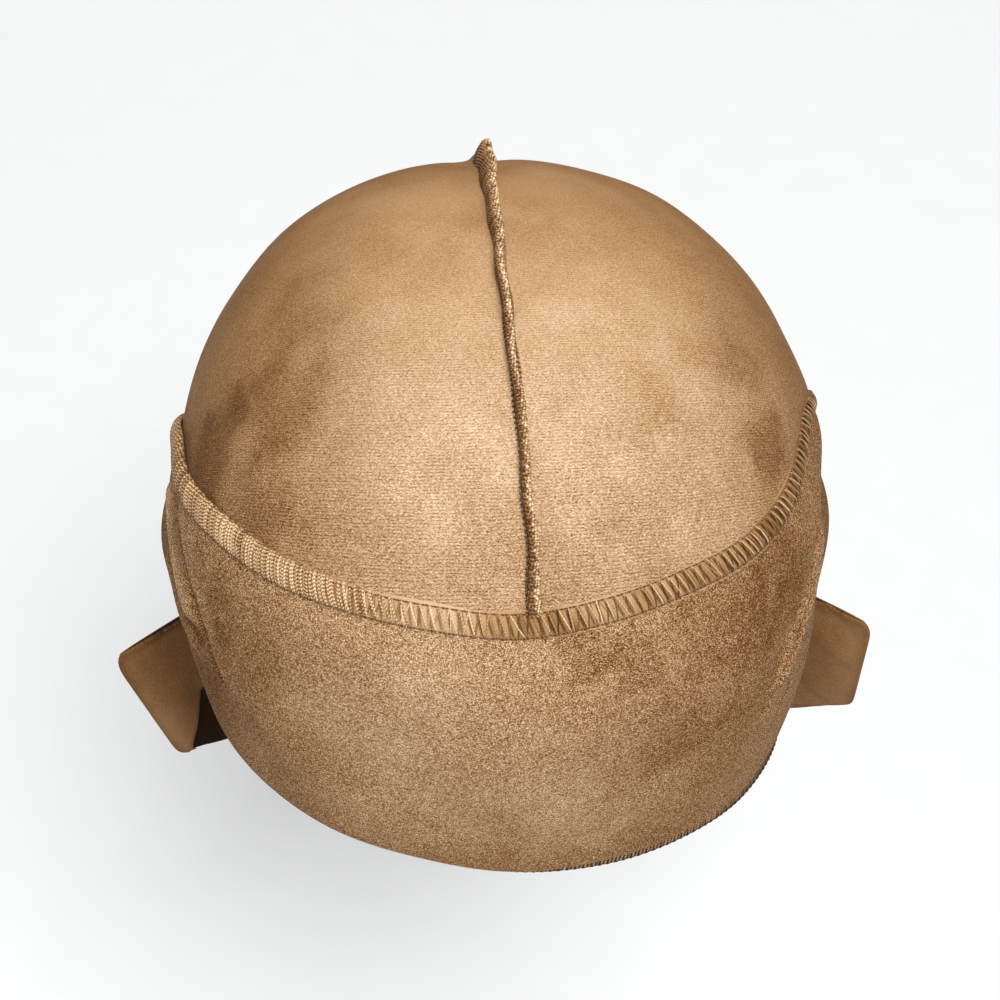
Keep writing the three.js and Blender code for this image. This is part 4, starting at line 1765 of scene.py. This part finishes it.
@dataclass
class Knot:
    """The knot at the nape: a creased wad with the strap's wrap over its middle."""

    half_width: float = 16.0
    half_depth: float = 11.0
    half_height: float = 15.0
    level: float = -92.0
    power: float = 3.0
    flat: float = 3.0
    wrap_width: float = 7.6
    wrap_rise: float = 1.3
    arc: float = 14.0

    @property
    def centre(self) -> Array:
        """The knot's middle, as its CAD solid has it, in mm."""
        low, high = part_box("knot")
        return np.array([0.0, high.y / MM - self.half_depth, self.level])

    def body(self, around: int = 176, up: int = 96) -> Form:
        """The knot as one closed form.

        Args:
            around: Points round it.
            up: Points up it.

        Returns:
            The closed form.
        """
        u = np.arange(around) / around * FULL_TURN
        v = np.linspace(-1, 1, up + 2)[1:-1] * math.pi / 2
        u, v = np.meshgrid(u, v, indexing="ij")
        direction = np.stack([np.cos(v) * np.sin(u), -np.cos(v) * np.cos(u), np.sin(v)], -1)
        sizes = np.array([self.half_width, self.half_depth, self.half_height])
        radius = (np.abs(direction / sizes) ** self.power).sum(-1) ** (-1 / self.power)
        point = direction * radius[..., None]
        x, z = point[..., 0], point[..., 2]
        wrap = ease((self.wrap_width + 0.6 * np.sin(z * 0.4) - np.abs(x)) / 2.2)
        lines = np.abs(np.cos((z + 0.25 * np.abs(x) * np.sign(z)) * 0.62)) ** 1.6
        beside = -1.5 * lines * ease((np.abs(x) - 4) / 6)
        strands = np.abs(np.cos(x * 0.62 + 0.5 * np.sin(z * 0.28)))
        over = wrap * (self.wrap_rise - 1.1 * strands**1.5)
        moved = point * (1 + (beside * (1 - wrap) + over - 0.5) / radius)[..., None]
        side = self.half_width - self.flat
        moved[..., 0] = np.clip(moved[..., 0], -side - 0.6, side + 0.6)
        moved[..., 2] = np.maximum(moved[..., 2], self.flat - self.half_height - 0.4)
        points = moved.reshape(-1, 3) + self.centre
        number = np.arange(around * up).reshape(around, up)
        faces = outward(walls(number, np.roll(number, -1, axis=0)), points)
        caps = [number[:, 0][None, ::-1], number[:, -1][None]]
        weave = np.stack([u * self.arc, z, np.zeros_like(z)], -1).reshape(-1, 3)
        # Darker in the creases beside the wrap and in the grooves between its strands: painted
        # shade.
        nap = (-0.12 * lines * (1 - wrap) - 0.12 * wrap * strands).reshape(-1)
        return points, [faces, *caps], weave, nap


@dataclass(frozen=True)
class Dent:
    """A soft crease in a loop's front layer, by its height at the fold and its slope from there."""

    rise: float
    slope: float
    depth: float
    width: float


@dataclass
class BowLoop:
    """A loop of the bow: the strap goes out from the knot to its fold and comes back.

    top and bottom are the ends of the fold. droop is how far the strap hangs between its ends and
    sag how much further its lower edge does. cut_back is the share of the width by which the front
    layer's lower edge is drawn up towards the knot. Sizes are in mm.
    """

    knot: Knot
    side: int
    top: tuple[float, float, float]
    bottom: tuple[float, float, float]
    cloth: float = 1.5
    root_height: float = 22.0
    open: float = 6.0
    bulge: float = 3.0
    droop: float = 8.0
    sag: float = 20.0
    cut_back: float = 0.0
    cut_from: float = 2.6
    cut_over: float = 13.5
    dents: tuple[Dent, ...] = ()
    # How much painted shade darkens the strap towards the knot.
    painted_knot_shade: float = 0.16
    span: float = 108.0
    flat_length: float = 260.0
    flat_width: float = 60.0
    weave_from: float = 500.0
    nap: NapField = NapField((), 61, 0.03)

    def middle(self, u: Array, v: Array) -> Array:
        """Points on the strap, by shares of its way out and back and of its width.

        Args:
            u: Shares of the way out to the fold and back.
            v: Shares of the width.

        Returns:
            The points, in mm.
        """
        knot = self.knot
        centre = knot.centre
        root_x = self.side * (knot.half_width - knot.flat + 0.3 + self.cloth)
        root = np.array([root_x, centre[1] + 2, centre[2]])
        top, bottom = np.array(self.top), np.array(self.bottom)
        end, tall = (top + bottom) / 2, top - bottom
        away = unit(np.array([self.side * 0.35, 0.94, 0.0]))
        turn = u * math.pi
        reach = (1 - np.cos(2 * turn)) / 2
        front = ease((0.5 - u) / 0.04)
        from_fold = (1 - reach) * abs(end[0] - root[0])
        cut = np.clip((from_fold - self.cut_from) / self.cut_over, 0, 1)
        v = v + (1 - v) * self.cut_back * front * cut
        apart = np.sin(2 * turn)
        spread = np.sign(apart) * np.abs(apart) ** 0.8
        rims = ease((np.abs(2 * v - 1) - 0.30) / 0.70) * ease(reach * 3)
        shut = 1 - 0.97 * rims
        ply = (1.3 - 0.46 * rims) * np.cos(turn)
        gap = ply + self.open * shut * spread * np.sqrt(np.maximum(np.sin(turn), 0))
        gathered = (1 - reach) ** 2 * ease(reach * 8)
        pleat = 0.9 * np.cos(v * 4 * math.pi) * gathered
        pleat = pleat + 0.5 * np.cos(v * 11 * math.pi + 1.0) * gathered * (1 - reach)
        share = ease(reach * 1.15)[..., None]
        height = blend(np.array([0.0, 0.0, self.root_height]), tall, share)
        corner = 0.022 * np.abs(2 * v - 1) ** 14 * ease((reach - 0.8) * 5) - 0.006
        point = blend(root, end, (reach - corner)[..., None]) + height * (v - 0.5)[..., None]
        belly = np.sin(reach * math.pi)
        point[..., 2] -= (self.droop + self.sag * (1 - v)) * belly
        slack = np.sin((v - 0.5) * math.pi * 1.6 + reach * 2.2) * belly
        across = v * float(np.linalg.norm(tall))
        dents = sum(
            dent.depth * mound(across - dent.rise - dent.slope * from_fold, dent.width) * front
            * ease(from_fold / 5) * ease((across - 1) / 7)
            for dent in self.dents
        )
        push = pleat + self.bulge * belly - gap + slack * ease((1 - reach) * 6)
        return point + away * (push - dents)[..., None]

    def shade(self, u: Array, v: Array) -> Array:
        """Painted shade: darker towards the knot, on the back layer, at the fold and along the
        rims.

        Args:
            u: Shares of the way out to the fold and back.
            v: Shares of the width.

        Returns:
            The lightness that it adds.
        """
        reach = (1 - np.cos(2 * u * math.pi)) / 2
        back = ease((u - 0.5) / 0.03)
        rim = ease((np.abs(2 * v - 1) - 0.86) / 0.14)
        fold = mound((1 - reach) * self.span, 1.6)
        deeper = ease((1 - reach) * 6.5) * (1 - 0.6 * back)
        return -0.16 * np.maximum(rim, fold) - self.painted_knot_shade * deeper - 0.10 * back

    def body(self) -> Form:
        """The loop's cloth.

        Returns:
            The closed form.
        """
        u, v = grid(236, 48)
        u = u + 0.06 * np.sin(2 * FULL_TURN * u) / 2
        middle = self.middle(u, v)
        across = v * self.flat_width + self.weave_from * self.side
        weave = np.stack([u * self.flat_length, across], -1)
        nap = self.nap.at(middle) + self.shade(u, v)
        return closed(Cloth.about(middle, self.cloth, weave, nap, self.side < 0), 4)


@dataclass
class Tail:
    """An end of the bow, hanging from under the knot behind the neck."""

    knot: Knot
    side: int
    lean: float
    cloth: float = 1.5
    root_width: float = 12.0
    width: float = 44.0
    length: float = 168.0
    slant: float = 12.0
    wave: float = 3.0
    flat_width: float = 46.0
    weave_from: float = 700.0
    stitches: int = 30
    seed: int = 17
    nap: NapField = NapField((), 71, 0.06)

    def middle(self, u: Array, v: Array) -> Array:
        """Points on the strap, by shares of its length and of its width.

        Args:
            u: Shares of the length, from the knot.
            v: Shares of the width.

        Returns:
            The points, in mm.
        """
        centre = self.knot.centre
        under = centre[2] + self.knot.flat - self.knot.half_height - 0.3
        fall = u * self.length
        lean = radians(self.lean)
        width = blend(self.root_width, self.width, ease(u * 2.2))
        offset = self.root_width / 2 + 1.2 + np.sin(lean) * fall
        out = offset + (width - self.root_width) * 0.3
        slant = self.slant * u * self.side * (v - 0.5)
        waved = ease(u * 3) * (1 - 0.5 * u)
        wave = self.wave * np.sin(v * FULL_TURN + self.side) * waved
        gather = 0.9 * np.cos(v * 5 * math.pi) * (1 - ease(u * 3.2)) * ease(u * 14)
        soft = 0.8 * np.sin(v * 9 + u * 7 + self.side) * ease(u * 4)
        x = self.side * out + (v - 0.5) * width
        y = centre[1] + 3 + wave + gather + soft
        return np.stack([x, y, under - fall * np.cos(lean) - slant], -1)

    def body(self) -> Form:
        """The strap's cloth.

        Returns:
            The closed form.
        """
        u, v = grid(130, 38)
        middle = self.middle(u, v)
        across = v * self.flat_width + self.weave_from * self.side
        weave = np.stack([u * self.length, across], -1)
        return closed(Cloth.about(middle, self.cloth, weave, self.nap.at(middle), True))

    def edge_threads(self) -> list[Strand]:
        """Overlock stitches along the strap's slanted end."""
        return edge_stitches(self.middle, 1.0, self.stitches, self.cloth, self.seed + self.side)


def edge_stitches(
    middle: Callable[[Array, Array], Array], end: float, count: int, cloth: float, seed: int
) -> list[Strand]:
    """Overlock stitches that wrap the edge of a sheet where its first share is end.

    Args:
        middle: The sheet's middle surface.
        end: The share along the sheet where the edge is.
        count: How many stitches there are.
        cloth: The sheet's thickness, in mm.
        seed: The seed for their unevenness.

    Returns:
        The stitches.
    """
    t = np.linspace(0, 1, 13)[None, :]
    at = (np.arange(count)[:, None] + 0.5) / count + (0.5 - t) * 0.8 / count
    turn = (t - 0.5) * math.pi
    back = np.abs(t - 0.5) ** 1.5 * 0.05
    edge = np.full(at.shape, end) - np.sign(end - 0.5) * back
    base = middle(edge, at)
    step = 0.002 * np.sign(end - 0.5)
    outwards = unit(base - middle(edge - step, at))
    sideways = unit(middle(edge, np.minimum(at + 0.01, 1)) - middle(edge, np.maximum(at - 0.01, 0)))
    normal = unit(np.cross(outwards, sideways))
    lift = (cloth / 2 + 0.2) * np.sin(turn)[..., None]
    paths = base + normal * lift + outwards * (np.cos(turn) * (cloth / 2 + 0.2))[..., None]
    upward = unit(normal * np.sin(turn)[..., None] + outwards * np.cos(turn)[..., None])
    draw = np.random.default_rng(seed)
    tone = -0.1 + 0.14 * draw.normal(size=(count, 1))
    return [Strand(paths, upward, 0.24 * np.ones(at.shape), tone)]


@dataclass
class Cape:
    """The neck cape: it follows the head under the band and then falls free."""

    crown: Crown
    half_angle: float = 42.0
    bottom: float = -238.0
    seam_gap: float = 0.8
    tuck: float = 7.0
    rows: float = 8.0
    flare: float = 0.3
    folds: float = 3.0
    fold_depth: float = 3.0
    stand: float = 3.0
    cloth: float = 1.3
    groove: float = 0.8
    flat_width: float = 140.0
    flat_height: float = 150.0
    weave_from: float = 900.0
    stitches: int = 86
    seed: int = 23
    nap: NapField = NapField((), 81, 0.08)

    def middle(self, u: Array, v: Array) -> Array:
        """Points on the cape, by shares of its width and of its height from the bottom.

        Args:
            u: Shares of the width.
            v: Shares of the height.

        Returns:
            The points, in mm.
        """
        azimuth = math.pi + radians(self.half_angle) * (2 * u - 1)
        top = self.crown.hem_level(azimuth) - self.seam_gap
        row = (1 - v) * self.rows
        tucked = np.minimum(row, 1) * self.tuck
        fall = np.maximum(0, row - 1) / (self.rows - 1)
        held = HEAD.off(HEAD.at_level(azimuth, top - tucked), self.cloth / 2)
        folds = self.fold_depth * np.cos(u * self.folds * FULL_TURN) * ease(fall * 1.5)
        small = 0.9 * np.cos(u * 8 * FULL_TURN + 3 * fall) * ease(fall * 3) * (1 - 0.5 * fall)
        stand = self.stand * np.sin(np.minimum(1, fall * 2) * math.pi / 2)
        z = blend(held[..., 2], self.bottom, fall)
        x = held[..., 0] * (1 + self.flare * fall)
        return np.stack([x, held[..., 1] + stand + folds + small, z], -1)

    def body(self) -> Form:
        """The cape's cloth, with the groove of its middle seam.

        Returns:
            The closed form.
        """
        u, v = grid(132, 76)
        middle = self.middle(u, v)
        aside = (u - 0.5) * self.flat_width
        weave = np.stack([aside, v * self.flat_height + self.weave_from], -1)
        groove = np.zeros(u.shape + (3,))
        groove[..., 1] = -self.groove * mound(aside, 1.1)
        return closed(Cloth.about(middle + groove, self.cloth, weave, self.nap.at(middle)))

    def threads(self) -> list[Strand]:
        """The stitches along the cape's bottom edge.

        Returns:
            The stitches.
        """

        def turned(down: Array, along: Array) -> Array:
            """Points on the cape, by shares of its height first."""
            return self.middle(along, down)

        return edge_stitches(turned, 0.0, self.stitches, self.cloth, self.seed)


@dataclass(frozen=True)
class View:
    """The camera, by where it stands round the head's middle. It sees the brow from above."""

    elevation: float = 50.0
    distance: float = 560.0
    turn: float = 4.0
    roll: float = -1.3
    focal_share: float = 2.082
    sensor: float = 36.0
    shift: tuple[float, float] = (0.0026, -0.0018)

    def place(self) -> None:
        """Makes the camera and sets it as the scene's own."""
        data = bpy.data.cameras.new("camera")
        data.sensor_width = self.sensor
        data.lens = self.sensor * self.focal_share
        data.shift_x, data.shift_y = self.shift
        data.clip_start, data.clip_end = 0.01, 50.0
        data.dof.use_dof = False
        camera = bpy.data.objects.new("camera", data)
        bpy.context.scene.collection.objects.link(camera)
        rise, turn, roll = (math.radians(x) for x in (self.elevation, self.turn, self.roll))
        yaw = np.array([
            [math.cos(turn), math.sin(turn), 0], [-math.sin(turn), math.cos(turn), 0], [0, 0, 1]
        ])
        right = yaw @ np.array([1.0, 0, 0])
        up = yaw @ np.array([0, math.sin(rise), math.cos(rise)])
        ahead = yaw @ np.array([0, math.cos(rise), -math.sin(rise)])
        x_axis = math.cos(roll) * right - math.sin(roll) * up
        y_axis = math.sin(roll) * right + math.cos(roll) * up
        at = to_frame(-ahead * self.distance)
        rows = np.stack([x_axis, y_axis, -ahead, at], 1)
        camera.matrix_world = Matrix([*rows.tolist(), [0, 0, 0, 1]])
        bpy.context.scene.camera = camera


@dataclass(frozen=True)
class Softbox:
    """A soft studio lamp that looks at the crown."""

    name: str
    at: tuple[float, float, float]
    size: float
    power: float
    colour: Colour = (1.0, 0.97, 0.93)
    target: tuple[float, float, float] = (0.0, 0.0, -0.06)

    def place(self) -> None:
        """Makes the lamp."""
        data = bpy.data.lights.new(self.name, "AREA")
        data.shape, data.size, data.energy, data.color = "DISK", self.size, self.power, self.colour
        lamp = bpy.data.objects.new(self.name, data)
        lamp.location = self.at
        facing = Vector(self.target) - Vector(self.at)
        lamp.rotation_euler = facing.to_track_quat("-Z", "Y").to_euler()
        bpy.context.scene.collection.objects.link(lamp)


@dataclass(frozen=True)
class Studio:
    """The plain pale floor, the soft lamps and the even light around."""

    floor_level: float = -0.52
    floor_radius: float = 12.0
    floor_colour: Colour = (0.90, 0.93, 0.965)
    around: Colour = (1.0, 0.995, 0.99)
    around_strength: float = 0.25
    lamps: tuple[Softbox, ...] = (
        Softbox("key", (0.40, -1.55, 2.75), 1.5, 94.0),
        Softbox("fill", (-1.8, -1.2, 1.8), 1.6, 4.0),
        Softbox("top", (0.1, 1.1, 2.9), 1.6, 30.0),
        Softbox("back", (0.2, 2.4, 1.0), 1.6, 7.0),
    )

    def place(self) -> None:
        """Makes the floor and the light."""
        mesh = bpy.data.meshes.new("floor")
        turn = np.linspace(0, FULL_TURN, 96, endpoint=False)
        ring = np.stack([np.cos(turn), np.sin(turn), np.zeros_like(turn)], 1) * self.floor_radius
        mesh.from_pydata(ring.tolist(), [], [list(range(len(turn)))])
        nodes = Nodes("floor paint")
        grain = nodes.noise(nodes.tree.nodes.new("ShaderNodeTexCoord").outputs["Object"], 40.0, 3.0)
        low, high = (tuple(c * k for c in self.floor_colour) for k in (0.985, 1.0))
        nodes.set(Base_Color=nodes.ramp(grain, ((0.3, low), (0.7, high))), Roughness=0.85)
        mesh.materials.append(nodes.material)
        floor = bpy.data.objects.new("floor", mesh)
        floor.location = (0, 0, self.floor_level)
        bpy.context.scene.collection.objects.link(floor)
        for lamp in self.lamps:
            lamp.place()
        scene = bpy.context.scene
        scene.world = bpy.data.worlds.new("studio")
        scene.world.use_nodes = True
        sky = scene.world.node_tree.nodes["Background"]
        sky.inputs["Color"].default_value = (*self.around, 1.0)
        sky.inputs["Strength"].default_value = self.around_strength
        scene.view_settings.view_transform = "Standard"
        scene.view_settings.look = "None"


# The greyer colours above the darkest one, for velvet in painted shade at the nape and for the
# hanging pieces.
GREYER = ((0.25, (0.212, 0.100, 0.037)), (0.50, (0.432, 0.268, 0.142)), *VelvetFinish.colours[3:])
NAP_UP = VelvetFinish("velvet nap up", tone=-0.06, grain=1.12, calm=0.76)
# A darker copy of the velvet as painted shade on the knot, the bow and the hem, its inner face
# near-black as painted shadow inside the loops.
VELVET_IN_PAINTED_SHADE = VelvetFinish(
    "velvet in painted shade", tone=-0.17, grain=0.34, rib=0.12, inside=0.50, sheen=0.03, specular=0.06,
    colours=((0.0, (0.020, 0.010, 0.005)), *GREYER),
)
# A darker, greyer copy of the velvet as painted shade on the tails and the cape.
HANGING_VELVET_IN_PAINTED_SHADE = VelvetFinish(
    "hanging velvet in painted shade", tone=-0.16, grain=0.5, rib=0.2, colours=(VelvetFinish.colours[0], *GREYER)
)
NAP_ACROSS = VelvetFinish(
    "velvet nap across", tone=-0.06, grain=2.65, rib=0.3, speck=0.22, speck_tall=0.84,
    specular=0.03, sheen=0.0,
    colours=(
        (0.00, (0.082, 0.027, 0.005)),
        (0.25, (0.232, 0.087, 0.017)),
        (0.50, (0.470, 0.244, 0.090)),
        (0.75, (0.697, 0.448, 0.238)),
        (1.00, (0.965, 0.772, 0.548)),
    ),
)
SEWING_THREAD = ThreadFinish("sewing thread")


def sewn(strands: Sequence[Strand]) -> list[Form]:
    """The closed forms of several kinds of thread."""
    return [strand.solid() for strand in strands]


@dataclass
class Durag:
    """The whole durag: the pieces that others are fitted to, and the materials of them all."""

    band: BrowBand = field(default_factory=BrowBand)
    knot: Knot = field(default_factory=Knot)
    smooth: bpy.types.Material = field(default_factory=NAP_UP.material)
    shaded: bpy.types.Material = field(default_factory=VELVET_IN_PAINTED_SHADE.material)
    hanging: bpy.types.Material = field(default_factory=HANGING_VELVET_IN_PAINTED_SHADE.material)
    coarse: bpy.types.Material = field(default_factory=NAP_ACROSS.material)
    thread: bpy.types.Material = field(default_factory=SEWING_THREAD.material)

    @property
    def crown(self) -> Crown:
        """The crown, fitted under the band."""
        return Crown(self.band)

    def build(self) -> None:
        """Builds and dresses every piece in turn."""
        self.build_crown()
        self.build_band()
        self.build_hem()
        self.build_loops()
        self.build_tails()
        self.build_cape()

    def build_crown(self) -> None:
        """Builds the two panels and the raised seam between them."""
        crown = self.crown
        for name, side in (("crown_left", 1), ("crown_right", -1)):
            piece = Piece(f"{name}_panel", Slot.VELVET, (name,))
            panel = piece.make([crown.panel(side)], self.smooth)
        core = Piece("crown_seam_core", Slot.THREAD, ("crown_seam",))
        core.make([crown.seam_core()], self.thread)
        Piece("crown_seam_overlock", Slot.THREAD).make(sewn(crown.seam_threads()), self.thread)

    def build_band(self) -> None:
        """Builds the brow band and the flat seam on it."""
        cloth = Piece("brow_band_cloth", Slot.VELVET, ("brow_band",))
        band = cloth.make([self.band.body()], self.coarse)
        strip = Piece("band_seam_strip", Slot.VELVET, ("band_seam",))
        strip.make([self.band.seam_strip()], self.smooth)
        Piece("band_seam_stitches", Slot.THREAD).make(sewn(self.band.seam_threads()), self.thread)

    def build_hem(self) -> None:
        """Builds the hem under the band."""
        hem = BrowHem(self.band)
        Piece("brow_hem_edge", Slot.VELVET, ("brow_hem",)).make([hem.strip()], self.shaded)
        Piece("brow_hem_overlock", Slot.THREAD).make(sewn(hem.threads()), self.thread)

    def build_loops(self) -> None:
        """Builds the knot and the bow's two loops."""
        Piece("knot_wrap", Slot.VELVET, ("knot",)).make([self.knot.body()], self.shaded)
        right = BowLoop(
            self.knot, -1, (-118, 34, -114.8), (-103, 36, -174), cut_back=0.56, droop=12.0,
            sag=16.5, painted_knot_shade=0.34,
            dents=(Dent(30.0, 0.5, 1.2, 5.0), Dent(50.0, -0.9, -0.9, 5.0)),
        )
        left = BowLoop(
            self.knot, 1, (122.5, 32, -108), (124, 36, -158.8), sag=33.0,
            dents=(
                Dent(31.0, 0.75, 1.0, 2.8), Dent(-6.0, 1.5, -1.1, 2.2), Dent(40.0, 1.0, -0.6, 3.0)
            ),
        )
        for side, loop, area in (("right", right, 0.0110), ("left", left, 0.0140)):
            name = f"bow_loop_{side}"
            piece = Piece(f"{name}_strap", Slot.VELVET, (name,)).make([loop.body()], self.shaded)

    def build_tails(self) -> None:
        """Builds the two hanging ends with their edge stitches."""
        for name, side, lean in (("tail_right", -1, 9.0), ("tail_left", 1, 12.0)):
            tail = Tail(self.knot, side, lean)
            piece = Piece(f"{name}_strap", Slot.VELVET, (name,)).make([tail.body()], self.hanging)
            edge = Piece(f"{name}_overlock", Slot.THREAD)
            stitches = edge.make(sewn(tail.edge_threads()), self.thread)

    def build_cape(self) -> None:
        """Builds the cape with its edge stitches."""
        cape = Cape(self.crown)
        sheet = Piece("cape_cloth", Slot.VELVET, ("cape",)).make([cape.body()], self.hanging)
        edge = Piece("cape_overlock", Slot.THREAD).make(sewn(cape.threads()), self.thread)


def main() -> None:
    """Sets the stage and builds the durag."""
    logging.basicConfig(level=logging.INFO, format="%(message)s")
    View().place()
    Studio().place()
    Durag().build()


if __name__ == "__main__":
    main()
